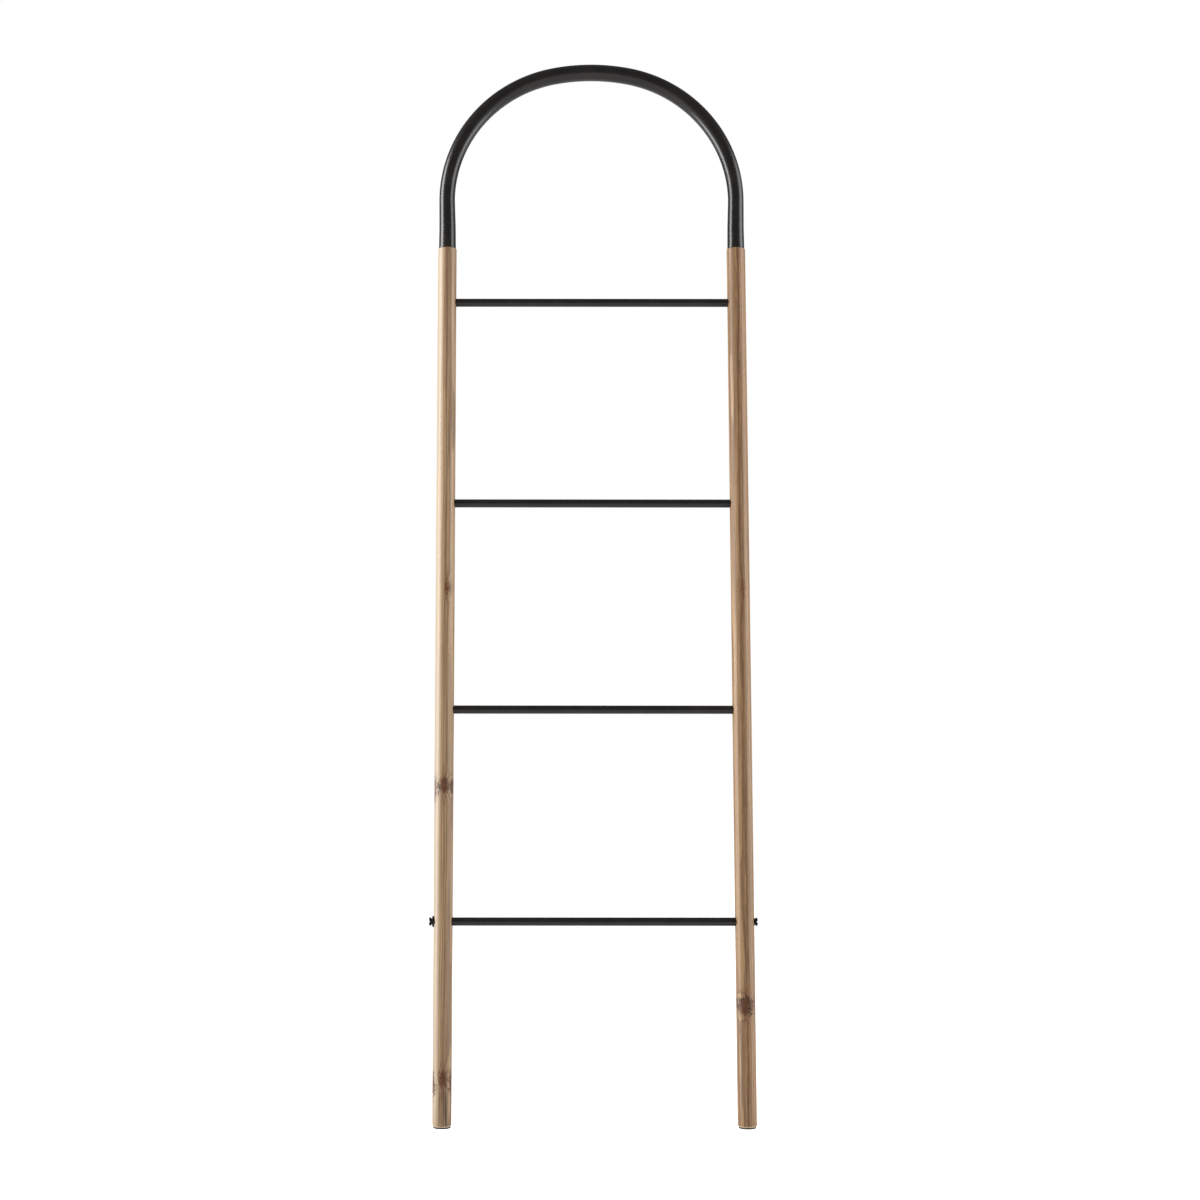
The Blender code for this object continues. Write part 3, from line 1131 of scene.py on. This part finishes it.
class Shaper:
    """A Geometry Nodes tree with named inputs, whose result becomes a plain mesh."""

    def __init__(self, name: str, sizes: dict[str, float], material: bpy.types.Material) -> None:
        """Starts a tree with one input for each size, and one for the material.

        Args:
            name: the name of the tree and of its piece.
            sizes: the sizes by name, in metres or as plain numbers.
            material: what the piece is made of.
        """
        self.name = name
        self.group = bpy.data.node_groups.new(name, "GeometryNodeTree")
        self.tree = Tree(self.group)
        self.given: dict[str, object] = {"Material": material, **sizes}
        self._declare("Material", "NodeSocketMaterial")
        for size in sizes:
            self._declare(size, "NodeSocketFloat")
        self.group.interface.new_socket("Geometry", in_out="OUTPUT", socket_type="NodeSocketGeometry")
        self.entry = self.tree.add("NodeGroupInput")

    def _declare(self, name: str, kind: str) -> None:
        """Adds a named input."""
        self.group.interface.new_socket(name, in_out="INPUT", socket_type=kind)

    def __getitem__(self, name: str) -> Value:
        """A named size."""
        return Value(self.tree, self.entry.outputs[name])

    def at(self, x: Operand, y: Operand, z: Operand) -> bpy.types.NodeSocket:
        """A point from its three coordinates."""
        return self.tree.add("ShaderNodeCombineXYZ", {}, {"X": x, "Y": y, "Z": z}).outputs[0]

    def tube(
        self, path: bpy.types.NodeSocket, sides: int, radius: Operand, scale: Operand = 1.0
    ) -> bpy.types.NodeSocket:
        """A round tube's skin along a curve.

        Args:
            path: the curve.
            sides: how many faces go round it.
            radius: the profile's radius.
            scale: how much the profile is scaled at each of the curve's points.

        Returns:
            The skin.
        """
        sockets = {"Resolution": sides, "Radius": radius}
        ring = self.tree.add("GeometryNodeCurvePrimitiveCircle", {"mode": "RADIUS"}, sockets)
        sockets = {"Curve": path, "Profile Curve": ring.outputs[0], "Scale": scale}
        return self.tree.add("GeometryNodeCurveToMesh", {}, sockets).outputs[0]

    def mesh(self, geometry: bpy.types.NodeSocket) -> bpy.types.Object:
        """Ends the tree, and turns its result into a plain mesh.

        Args:
            geometry: what the tree makes.

        Returns:
            The object, without its modifier.
        """
        real = self.tree.add("GeometryNodeRealizeInstances", {}, {"Geometry": geometry})
        sockets = {"Geometry": real.outputs[0], "Material": self.entry.outputs["Material"]}
        coated = self.tree.add("GeometryNodeSetMaterial", {}, sockets)
        self.tree.add("NodeGroupOutput", {}, {"Geometry": coated.outputs[0]})
        obj = linked(self.name, bpy.data.meshes.new(self.name))
        modifier = obj.modifiers.new(self.name, "NODES")
        modifier.node_group = self.group
        for item in self.group.interface.items_tree:
            if item.in_out == "INPUT":
                modifier[item.identifier] = self.given[item.name]
        return settled(obj)


# ---------------------------------------------------------------- the ladder's parts


@dataclass
class Arch:
    """The bent tube on top: two straight legs, two shoulder bends and a flatter crown."""

    plane: LadderPlane
    material: bpy.types.Material
    joint: float = 1.400
    gap: float = 0.0003
    radius: float = 0.0138
    wall: float = 0.0012
    leg: float = 0.083
    spigot: float = 0.036
    splay: float = 0.001
    shoulder_radius: float = 0.217
    crown_half_angle: float = math.radians(11.0)
    spring_squeeze: float = 0.080
    crown_squeeze: float = 0.025
    sides: int = 64
    steps: int = 260
    rim: float = 0.0003
    screw_height: float = 0.018
    screw_hole_radius: float = 0.00205

    @property
    def crown_radius(self) -> float:
        """The radius of the flatter bend at the top."""
        inset = self.plane.half_spacing + self.splay - self.shoulder_radius
        return self.shoulder_radius + inset / math.sin(self.crown_half_angle)

    @property
    def crown_rise(self) -> float:
        """How far the crown stands above where the bends start."""
        drop = (self.crown_radius - self.shoulder_radius) * math.cos(self.crown_half_angle)
        return self.crown_radius - drop

    def tube_radius(self, rise: float) -> float:
        """The tube's outer radius on a leg, at a height above the joint."""
        return self.radius * (1.0 - self.spring_squeeze * rise / self.leg)

    def build(self) -> None:
        """Makes the arch: its skin gets a wall, a clearance hole behind each leg and eased rims."""
        arch = self._tube()
        walled(arch, self.wall)
        holes = []
        for side in Side:
            reach = (self.radius / 2, self.radius + CUT_MARGIN)
            hole = drill(f"{side.label}_tube_hole", self.screw_hole_radius, reach)
            hole.data.transform(Matrix.Rotation(-math.pi / 2, 4, "X"))
            height = self.joint + self.screw_height
            hole.data.transform(Matrix.Translation((self.plane.pole_x(side), 0.0, height)))
            holes.append(hole)
        cut(arch, holes)
        soften(arch, self.rim)
        smooth(arch)
        self.plane.put(arch)
        finish_piece(arch, self.material, ["arch_tube"])

    def _tube(self) -> bpy.types.Object:
        """The tube's outer skin, swept along the arch."""
        sizes = {
            "Half spacing": self.plane.half_spacing,
            "Joint": self.joint,
            "Leg": self.leg,
            "Spigot": self.spigot,
            "Splay": self.splay,
            "Shoulder radius": self.shoulder_radius,
            "Crown radius": self.crown_radius,
            "Crown half angle": self.crown_half_angle,
            "Crown rise": self.crown_rise,
            "Tube radius": self.radius,
            "Spring squeeze": self.spring_squeeze,
            "Crown squeeze": self.crown_squeeze,
            "Gap": self.gap,
        }
        shape = Shaper("arch", sizes, self.material)
        tree = shape.tree
        edge = shape["Crown half angle"]
        crown_length = shape["Crown radius"] * edge
        shoulder_length = shape["Shoulder radius"] * (math.pi / 2 - edge)
        half = crown_length + shoulder_length + shape["Leg"] - shape["Gap"]
        index = Value(tree, tree.add("GeometryNodeInputIndex").outputs[0])
        along = (index * (2.0 / self.steps) - 1.0) * half
        away = along.size()
        side = along.sign()
        crown_turn = away.at_most(crown_length) / shape["Crown radius"]
        bent = (away - crown_length).at_least(0.0).at_most(shoulder_length)
        shoulder_turn = edge + bent / shape["Shoulder radius"]
        down = (away - crown_length - shoulder_length).at_least(0.0)
        shoulder_out = shape["Shoulder radius"] * (shoulder_turn.sine() - edge.sine())
        out = shape["Crown radius"] * crown_turn.sine() + shoulder_out
        shoulder_lift = shape["Shoulder radius"] * (shoulder_turn.cosine() - edge.cosine())
        lift = shape["Crown radius"] * (crown_turn.cosine() - 1.0) + shoulder_lift
        share = down / (shape["Leg"] - shape["Spigot"])
        out = out - shape["Splay"] * share.at_most(1.0)
        rise = shape["Leg"] + shape["Crown rise"] + lift - down
        line = tree.add("GeometryNodeMeshLine", {}, {"Count": self.steps + 1})
        sockets = {"Geometry": line.outputs[0], "Position": shape.at(out * side, 0.0, rise + shape["Joint"])}
        placed = tree.add("GeometryNodeSetPosition", {}, sockets)
        curve = tree.add("GeometryNodeMeshToCurve", {}, {"Mesh": placed.outputs[0]})
        climb = (rise / shape["Leg"]).at_most(1.0) * shape["Spring squeeze"]
        lessening = shape["Spring squeeze"] - shape["Crown squeeze"]
        relief = ((rise - shape["Leg"]).at_least(0.0) / shape["Crown rise"]) * lessening
        thickness = shape["Tube radius"] * (1.0 - climb + relief)
        return shape.mesh(shape.tube(curve.outputs[0], self.sides, 1.0, thickness))


@dataclass
class Rungs:
    """The four steel rungs, whose ends sit in sockets in the poles."""

    plane: LadderPlane
    material: bpy.types.Material
    names: tuple[str, ...] = ("lowest_rung", "second_rung", "third_rung", "top_rung")
    radius: float = 0.0066
    wall: float = 0.0012
    half_length: float = 0.2317
    rim: float = 0.00035
    sides: int = 56

    @property
    def heights(self) -> list[float]:
        """Each rung's height along the poles."""
        return [self.plane.height_of(name) for name in self.names]

    def build(self) -> None:
        """Makes the four rungs as one piece, at an even pitch."""
        lowest, top = self.heights[0], self.heights[-1]
        sizes = {
            "Radius": self.radius,
            "Half length": self.half_length,
            "Lowest": lowest,
            "Pitch": (top - lowest) / (len(self.names) - 1),
        }
        shape = Shaper("rungs", sizes, self.material)
        tree = shape.tree
        reach = shape["Half length"]
        ends = {"Start": shape.at(reach * -1.0, 0.0, 0.0), "End": shape.at(reach, 0.0, 0.0)}
        axis = tree.add("GeometryNodeCurvePrimitiveLine", {}, ends)
        rung = shape.tube(axis.outputs[0], self.sides, shape["Radius"])
        sockets = {
            "Count": len(self.names),
            "Start Location": shape.at(0.0, 0.0, shape["Lowest"]),
            "Offset": shape.at(0.0, 0.0, shape["Pitch"]),
        }
        column = tree.add("GeometryNodeMeshLine", {}, sockets)
        sockets = {"Points": column.outputs[0], "Instance": rung}
        copies = tree.add("GeometryNodeInstanceOnPoints", {}, sockets)
        rungs = shape.mesh(copies.outputs[0])
        walled(rungs, self.wall)
        soften(rungs, self.rim)
        smooth(rungs)
        self.plane.put(rungs)
        finish_piece(rungs, self.material, self.names)


@dataclass(frozen=True)
class Seat:
    """The washer and the counterbore at one end of the lowest rung, as distances from the pole's axis."""

    washer_radius: float
    washer_height: float
    depth: float


SEATS = {Side.LEFT: Seat(0.0088, 0.0034, 0.0018), Side.RIGHT: Seat(0.0069, 0.0010, 0.0012)}


@dataclass
class Pole:
    """One round pole: a spigot on top, sockets on its inner side, a level foot, and its own wood."""

    plane: LadderPlane
    side: Side
    material: bpy.types.Material
    rung_heights: Sequence[float]
    length: float = 1.400
    shoulder_chamfer: float = 0.0008
    spigot_length: float = 0.036
    spigot_radius: float = 0.01155
    spigot_chamfer: float = 0.0015
    foot_level: float = 0.0023
    foot_chamfer: float = 0.0014
    socket_depth: float = 0.012
    socket_radius: float = 0.0069
    lowest_socket_radius: float = 0.0074
    bore_radius: float = 0.0033
    seat_play: float = 0.0004
    pilot_radius: float = 0.00205
    pilot_height: float = 0.018
    pilot_end: float = 0.0018
    edge: float = 0.0003
    edge_angle: float = 45.0  # degrees from which an edge is eased
    shade_angle: float = 40.0  # degrees from which an edge stays sharp
    sides: int = 96
    trim_sides: int = 90  # unlike the pole's, so that no two faces nearly coincide
    pilot_sides: int = 32
    foot_ring: float = 0.03  # a ring of edges at this height keeps the foot's shading local
    collar: float = 0.014  # and so do rings this far from each socket

    @property
    def radius(self) -> float:
        """The pole's radius, as in the frame."""
        return self.plane.pole_radius

    def build(self) -> None:
        """Turns the pole, cuts its foot and holes, eases their edges and sets it in the plane."""
        pole = lathe(f"{self.side.label}_pole_wood", self._profile(), self.sides)
        cut(pole, [self._foot_trim(), *self._sockets(), self._pilot()])
        soften(pole, self.edge, self.edge_angle)
        smooth(pole, self.shade_angle)
        self.plane.put(pole, (self.plane.pole_x(self.side), 0.0, 0.0))
        finish_piece(pole, self.material, [f"{self.side.label}_pole"])

    def _profile(self) -> list[Point]:
        """The pole's outline from the spigot's top down to below the foot."""
        top = self.length + self.spigot_length
        rings = [height + away for height in self.rung_heights for away in (-self.collar, self.collar)]
        return [
            (0.0, top),
            (self.spigot_radius - self.spigot_chamfer, top),
            (self.spigot_radius, top - self.spigot_chamfer),
            (self.spigot_radius, self.length),
            (self.radius - self.shoulder_chamfer, self.length),
            (self.radius, self.length - self.shoulder_chamfer),
            *((self.radius, ring) for ring in sorted(rings, reverse=True)),
            (self.radius, self.foot_ring),
            (self.radius, -self.radius / 2),
            (0.0, -self.radius / 2),
        ]

    def _foot_trim(self) -> bpy.types.Object:
        """A cutter that leaves the foot level above its pad, with a chamfer round it."""
        inner = self.radius - self.foot_chamfer
        slope = self.foot_chamfer + CUT_MARGIN
        outer = self.radius + 2 * CUT_MARGIN
        profile = [
            (0.0, self.foot_level),
            (inner, self.foot_level),
            (inner + slope, self.foot_level + slope),
            (outer, self.foot_level + slope),
            (outer, -self.radius),
            (0.0, -self.radius),
        ]
        trim = lathe(f"{self.side.label}_foot_trim", profile, self.trim_sides)
        across = self.plane.pole_x(self.side)
        shift = self.foot_level * math.tan(self.plane.lean)
        world = Matrix.Translation(self.plane.foot) @ Matrix.Translation((across, shift, 0.0))
        to_pole = Matrix.Translation((-across, 0.0, 0.0)) @ self.plane.matrix.inverted()
        trim.data.transform(to_pole @ world)
        return trim

    def _sockets(self) -> list[bpy.types.Object]:
        """Cutters for the four rungs' ends, the lowest going right through to its washer's seat."""
        seat = SEATS[self.side]
        turn = Matrix.Rotation(self.side.value * math.pi / 2, 4, "Y")
        floor = self.socket_depth - self.radius
        mouth = -self.radius - CUT_MARGIN
        outer = self.radius + CUT_MARGIN
        washer_floor = self.radius - seat.depth
        washer_radius = seat.washer_radius + self.seat_play
        through = [
            (0.0, outer),
            (washer_radius, outer),
            (washer_radius, washer_floor),
            (self.bore_radius, washer_floor),
            (self.bore_radius, floor),
            (self.lowest_socket_radius, floor),
            (self.lowest_socket_radius, mouth),
            (0.0, mouth),
        ]
        cutters = []
        for index, height in enumerate(self.rung_heights):
            name = f"{self.side.label}_socket_{index}"
            if index:
                cutter = drill(name, self.socket_radius, (mouth, floor))
            else:
                cutter = lathe(name, through, HOLE_SIDES)
            cutter.data.transform(Matrix.Translation((0.0, 0.0, height)) @ turn)
            cutters.append(cutter)
        return cutters

    def _pilot(self) -> bpy.types.Object:
        """A cutter for the locking screw's pilot hole, from behind into the spigot."""
        reach = (self.pilot_end, self.radius + CUT_MARGIN)
        pilot = drill(f"{self.side.label}_pilot", self.pilot_radius, reach, self.pilot_sides)
        place = Matrix.Translation((0.0, 0.0, self.length + self.pilot_height))
        pilot.data.transform(place @ Matrix.Rotation(-math.pi / 2, 4, "X"))
        return pilot


def threaded(radius: float, depth: float, pitch: float, start: float, end: float) -> list[Point]:
    """The outline of a threaded shank's side, from one height down to another.

    Args:
        radius: the thread's outer radius.
        depth: how deep it is cut.
        pitch: the distance between its crests.
        start: the upper height.
        end: the lower height.

    Returns:
        The outline's points.
    """
    points: list[Point] = []
    height = start
    while height - pitch > end:
        points += [(radius, height), (radius - depth, height - pitch / 2)]
        height -= pitch
    return [*points, (radius, height)]


@dataclass
class RungFixing:
    """What holds one end of the lowest rung: an insert in the tube, a washer and a slotted screw."""

    plane: LadderPlane
    side: Side
    steel: bpy.types.Material
    zinc: bpy.types.Material
    height: float
    gap: float = 0.0003
    rung_half_length: float = 0.2317
    head_radius: float = 0.0065
    head_height: float = 0.0036
    head_round: float = 0.0012
    collar_radius: float = 0.0048
    collar_height: float = 0.0011
    head_foot_round: float = 0.0005  # the head's underside, next to the collar
    collar_round: float = 0.0002
    slot_width: float = 0.0020
    slot_depth: float = 0.0016
    slot_ease: float = 0.00012
    shank_radius: float = 0.0030
    point: float = 0.001  # how much slimmer the shank's tip is, and how long
    thread_depth: float = 0.0004
    thread_pitch: float = 0.0010
    thread_start: float = 0.001  # how far the thread reaches out of the rung
    grip: float = 0.012
    insert_length: float = 0.016
    insert_radius: float = 0.0051
    insert_ease: float = 0.0004
    knurl_depth: float = 0.00025
    knurl_pitch: float = 0.0012
    knurl_margin: float = 0.001  # left plain at both ends
    washer_round: float = 0.0005
    sides: int = 64

    @property
    def seat(self) -> float:
        """The counterbore's floor, from the pole's axis."""
        return self.plane.pole_radius - SEATS[self.side].depth

    @property
    def rung_end(self) -> float:
        """The rung's end, from the pole's axis."""
        return self.rung_half_length - self.plane.half_spacing

    def build(self) -> None:
        """Makes the insert, the washer and the screw."""
        self._insert()
        self._washer()
        self._screw()

    def _set(self, obj: bpy.types.Object) -> None:
        """Turns a piece outwards and sets it at the rung's height."""
        turn = Euler((0.0, self.side.value * math.pi / 2, 0.0))
        self.plane.put(obj, (self.plane.pole_x(self.side), 0.0, self.height), turn)

    def _insert(self) -> None:
        """A knurled insert with a threaded bore."""
        top, bottom = self.rung_end, self.rung_end - self.insert_length
        inner = self.shank_radius + self.gap
        reach = (top - self.knurl_margin, bottom + self.knurl_margin)
        knurl = threaded(self.insert_radius, self.knurl_depth, self.knurl_pitch, *reach)
        end = self.insert_radius - self.insert_ease
        profile = [(end, top), *knurl, (end, bottom), (inner, bottom), (inner, top)]
        insert = lathe(f"{self.side.label}_insert", profile, self.sides, ring=True)
        smooth(insert)
        self._set(insert)
        finish_piece(insert, self.zinc, [f"{self.side.label}_rung_insert"])

    def _washer(self) -> None:
        """A flat washer with eased edges."""
        shape = SEATS[self.side]
        bottom = self.seat + self.gap
        top = bottom + shape.washer_height
        inner = self.shank_radius + self.gap
        corners = [(shape.washer_radius, top), (shape.washer_radius, bottom), (inner, bottom), (inner, top)]
        ease = min(self.washer_round, shape.washer_height / 3)
        profile = outline(corners, {0: ease, 1: ease / 2, 3: ease / 2})
        washer = lathe(f"{self.side.label}_washer_steel", profile, self.sides, ring=True)
        smooth(washer)
        self._set(washer)
        finish_piece(washer, self.steel, [f"{self.side.label}_washer"])

    def _screw(self) -> None:
        """A screw with a rounded slotted head, a collar and a threaded shank."""
        collar_bottom = self.seat + 2 * self.gap + SEATS[self.side].washer_height
        head_bottom = collar_bottom + self.collar_height
        top = head_bottom + self.head_height
        tip = self.rung_end - self.grip
        corners = [(0.0, top), (self.head_radius, top), (self.head_radius, head_bottom)]
        corners += [(self.collar_radius, head_bottom), (self.collar_radius, collar_bottom)]
        corners += [(self.shank_radius, collar_bottom)]
        rounds = {1: self.head_round, 2: self.head_foot_round, 4: self.collar_round}
        reach = (self.rung_end + self.thread_start, tip + self.point)
        profile = outline(corners, rounds)
        profile += threaded(self.shank_radius, self.thread_depth, self.thread_pitch, *reach)
        profile += [(self.shank_radius - self.point, tip), (0.0, tip)]
        screw = lathe(f"{self.side.label}_slotted_screw", profile, self.sides)
        slot = box(f"{self.side.label}_slot", (self.slot_width, 4 * self.head_radius, 2 * self.slot_depth))
        slot.data.transform(Matrix.Translation((0.0, 0.0, top)))
        cut(screw, [slot])
        soften(screw, self.slot_ease)
        smooth(screw)
        self._set(screw)
        finish_piece(screw, self.steel, [f"{self.side.label}_rung_screw"])


@dataclass
class ArchScrew:
    """A domed cross-recessed screw that locks the arch on a pole from behind."""

    plane: LadderPlane
    side: Side
    steel: bpy.types.Material
    seat: float
    height: float
    head_radius: float = 0.0036
    head_height: float = 0.0022
    brim: float = 0.0005  # the head's upright rim
    shank_radius: float = 0.00175
    length: float = 0.012
    thread_depth: float = 0.00035
    thread_pitch: float = 0.0009
    neck: float = 0.0015  # the plain part under the head
    point: float = 0.0025
    recess_width: float = 0.0009
    recess_reach: float = 0.0040
    recess_depth: float = 0.0012
    recess_turn: float = math.radians(17.0)
    dome_steps: int = 10
    sides: int = 48

    def build(self) -> None:
        """Turns the screw, cuts its recess and sets it behind the leg."""
        top = self.seat + self.head_height
        tip = self.seat - self.length
        brim = self.seat + self.brim
        dome = []
        for step in range(self.dome_steps + 1):
            turn = math.pi / 2 * step / self.dome_steps
            dome.append((self.head_radius * math.sin(turn), brim + (top - brim) * math.cos(turn)))
        reach = (self.seat - self.neck, tip + self.point)
        thread = threaded(self.shank_radius, self.thread_depth, self.thread_pitch, *reach)
        profile = [*dome, (self.head_radius, self.seat), (self.shank_radius, self.seat), *thread, (0.0, tip)]
        screw = lathe(f"{self.side.label}_domed_screw", profile, self.sides)
        recess_sizes = (self.recess_width, self.recess_reach, 2 * self.recess_depth)
        recess = cross(f"{self.side.label}_recess", *recess_sizes)
        spin = Matrix.Rotation(self.side.value * self.recess_turn, 4, "Z")
        recess.data.transform(Matrix.Translation((0.0, 0.0, top)) @ spin)
        cut(screw, [recess])
        smooth(screw)
        turn = Euler((-math.pi / 2, 0.0, 0.0))
        self.plane.put(screw, (self.plane.pole_x(self.side), 0.0, self.height), turn)
        finish_piece(screw, self.steel, [f"{self.side.label}_arch_screw"])


@dataclass
class FootPad:
    """A flat rubber pad under a foot, with a rounded edge and grip grooves in its sole."""

    plane: LadderPlane
    side: Side
    material: bpy.types.Material
    radius: float = 0.0136
    height: float = 0.0023
    edge: float = 0.0005
    groove_depth: float = 0.0004
    groove_half_width: float = 0.0005
    grooves: tuple[float, ...] = (0.010, 0.007, 0.004)  # their radii, from the rim inwards
    sides: int = 96

    def build(self) -> None:
        """Turns the pad and sets it level on the floor."""
        corners = [(0.0, self.height), (self.radius, self.height), (self.radius, 0.0)]
        half = self.groove_half_width
        sole: list[Point] = []
        for at in self.grooves:
            sole += [(at + half, 0.0), (at, self.groove_depth), (at - half, 0.0)]
        profile = outline([*corners, *sole, (0.0, 0.0)], {1: self.edge, 2: self.edge})
        pad = lathe(f"{self.side.label}_pad", profile, self.sides)
        smooth(pad)
        shift = self.height * math.tan(self.plane.lean)
        foot = self.plane.foot + Vector((self.plane.pole_x(self.side), shift, 0.0))
        pad.data.transform(Matrix.Translation(foot))
        finish_piece(pad, self.material, [f"{self.side.label}_foot_pad"])


# ---------------------------------------------------------------- the studio


@dataclass(frozen=True)
class Softbox:
    """A large soft light that stands beside the ladder."""

    name: str
    place: Triple
    size: Point
    power: float
    target: Triple = (0.0, 0.0, 0.85)

    def build(self) -> None:
        """Adds the light, turned to its target."""
        light = bpy.data.lights.new(self.name, "AREA")
        light.shape = "RECTANGLE"
        light.size, light.size_y = self.size
        light.energy = self.power
        obj = bpy.data.objects.new(self.name, light)
        obj.location = self.place
        aim = Vector(self.target) - Vector(self.place)
        obj.rotation_euler = aim.to_track_quat("-Z", "Y").to_euler()
        obj.visible_camera = False
        bpy.context.scene.collection.objects.link(obj)


@dataclass
class Studio:
    """The camera, the pale floor, the soft lights and the plain white surroundings."""

    camera_place: Triple = (-0.0975, -3.7848, 0.8113)
    camera_roll: float = -0.044  # degrees
    camera_shift: float = 0.0575  # keeps the ladder in the middle of the frame
    lens: float = 71.26
    sensor_width: float = 36.0
    floor_half_size: float = 12.0
    floor_colour: Colour = (0.86, 0.86, 0.86)
    floor_glow: float = 0.80
    floor_roughness: float = 0.9
    floor_specular: float = 0.1
    bounce: float = 0.88  # how bright the floor is to everything but the camera
    bounce_drop: float = 0.002  # how far the plane that gives that light lies below the floor
    surround: float = 0.23  # how bright the surroundings are to everything but the camera
    lights: tuple[Softbox, ...] = (
        Softbox("left_softbox", (-2.6, -0.2, 1.2), (1.35, 3.8), 172.0),
        Softbox("right_softbox", (2.6, -0.4, 1.2), (1.8, 3.8), 91.0),
    )

    def build(self) -> None:
        """Sets up the studio, the camera first."""
        self._camera()
        self._floor()
        self._surroundings()
        for light in self.lights:
            light.build()
        bpy.context.scene.view_settings.view_transform = "Standard"

    def _camera(self) -> None:
        """A level camera in front of the ladder."""
        data = bpy.data.cameras.new("camera")
        data.lens = self.lens
        data.sensor_width = self.sensor_width
        data.shift_x = self.camera_shift
        camera = bpy.data.objects.new("camera", data)
        camera.location = self.camera_place
        camera.rotation_euler = (math.pi / 2, math.radians(self.camera_roll), 0.0)
        bpy.context.scene.collection.objects.link(camera)
        bpy.context.scene.camera = camera

    def _floor(self) -> None:
        """A matt pale floor that fades into the surroundings, over an unseen one that lights the ladder."""
        seen = self._plain_plane("floor", 0.0, self.floor_colour, self.floor_glow)
        seen.visible_diffuse = False
        seen.visible_glossy = False
        seen.visible_shadow = False
        bounce = self._plain_plane("floor_bounce", -self.bounce_drop, (0.0, 0.0, 0.0), self.bounce)
        bounce.visible_camera = False

    def _plain_plane(self, name: str, height: float, colour: Colour, glow: float) -> bpy.types.Object:
        """A large level plane in one plain colour.

        Args:
            name: the plane's name.
            height: how high it lies.
            colour: its own colour.
            glow: how strongly it glows white.

        Returns:
            The plane.
        """
        mesh = bpy.data.meshes.new(name)
        half = self.floor_half_size
        corners = [(-half, -half, height), (half, -half, height), (half, half, height), (-half, half, height)]
        mesh.from_pydata(corners, [], [(0, 1, 2, 3)])
        material = bpy.data.materials.new(f"pale_{name}")
        material.use_nodes = True
        shader = material.node_tree.nodes["Principled BSDF"]
        for socket, value in (
            ("Base Color", (*colour, 1.0)),
            ("Roughness", self.floor_roughness),
            ("Specular IOR Level", self.floor_specular),
            ("Emission Color", WHITE),
            ("Emission Strength", glow),
        ):
            shader.inputs[socket].default_value = value
        mesh.materials.append(material)
        return linked(name, mesh)

    def _surroundings(self) -> None:
        """White behind everything, and a dimmer even light for the ladder."""
        world = bpy.data.worlds.new("surroundings")
        world.use_nodes = True
        bpy.context.scene.world = world
        tree = Tree(world.node_tree)
        background = world.node_tree.nodes["Background"]
        seen = Value(tree, tree.add("ShaderNodeLightPath").outputs["Is Camera Ray"])
        strength = self.surround + (1.0 - self.surround) * seen
        tree.fill(background.inputs["Color"], WHITE)
        tree.fill(background.inputs["Strength"], strength)


# ---------------------------------------------------------------- the whole ladder


@dataclass
class BlanketLadder:
    """All of the ladder's parts and the finishes they share."""

    plane: LadderPlane = field(default_factory=LadderPlane)

    def woods(self) -> dict[Side, bpy.types.Material]:
        """Each pole's own wood."""
        left = OiledSoftwood(
            "left_pole_softwood",
            self.plane.grain(self.plane.pole_x(Side.LEFT)),
            GrowthRings((-24.0, 17.0)),
            137.0,
            (
                Knot(839.0, -78.0, 6.4, 0.75, 0.0, 1.8),
                Knot(525.0, -87.0, 8.0, 1.00, 0.55, 1.5, 0.55),
                Knot(521.0, -163.0, 8.8, 0.60, 1.0, 1.9, 0.55),
                Knot(524.0, -21.0, 7.8, 0.75, 1.0, 1.4, 0.9),
                Knot(520.0, 60.0, 5.0, 0.80, 0.9),
                Knot(73.0, -84.0, 8.2, 1.00, 0.35, 1.7, 0.45),
                Knot(64.0, -163.0, 7.4, 1.00, 1.0, 2.4, 0.7),
                Knot(69.0, -14.0, 6.8, 1.00, 1.0, 2.2, 0.7),
            ),
            stained_foot=0.90,
            streak_and_shade=0.15,
            pale_side=0.80,
        )
        right = OiledSoftwood(
            "right_pole_softwood",
            self.plane.grain(self.plane.pole_x(Side.RIGHT)),
            GrowthRings((21.0, 26.0)),
            411.0,
            (
                Knot(838.0, -78.0, 4.6, 0.62, 0.0, 4.2),
                Knot(185.0, -92.0, 12.0, 1.00, 0.95, 1.10, 0.95, 2.1),
                Knot(190.0, -166.0, 5.4, 0.70, 0.9, 1.2, 0.4),
                Knot(198.0, -16.0, 3.0, 0.80, 0.5, 1.5),
                Knot(183.0, 80.0, 4.6, 0.80, 0.9),
            ),
            streak_and_shade=0.62,
            early_wood=(0.440, 0.270, 0.134),
            late_wood=(0.152, 0.073, 0.030),
        )
        return {Side.LEFT: left.make(), Side.RIGHT: right.make()}

    def build(self) -> None:
        """Makes every part, from the top down."""
        woods = self.woods()
        coating = PowderCoating("satin_black_coating").make()
        steel = BLACK_OXIDE.make()
        zinc = BRIGHT_ZINC.make()
        rubber = PadRubber("black_pad_rubber").make()
        arch = Arch(self.plane, coating)
        arch.build()
        rungs = Rungs(self.plane, coating)
        rungs.build()
        screw_seat = arch.tube_radius(arch.screw_height) + 2 * arch.gap
        for side in Side:
            Pole(self.plane, side, woods[side], rungs.heights).build()
            RungFixing(self.plane, side, steel, zinc, rungs.heights[0]).build()
            ArchScrew(self.plane, side, steel, screw_seat, arch.joint + arch.screw_height).build()
            FootPad(self.plane, side, rubber).build()


def main() -> None:
    """Sets up the studio, makes the ladder and logs each piece's face count."""
    logging.basicConfig(level=logging.INFO, format="%(name)s: %(message)s")
    Studio().build()
    BlanketLadder().build()


if __name__ == "__main__":
    main()
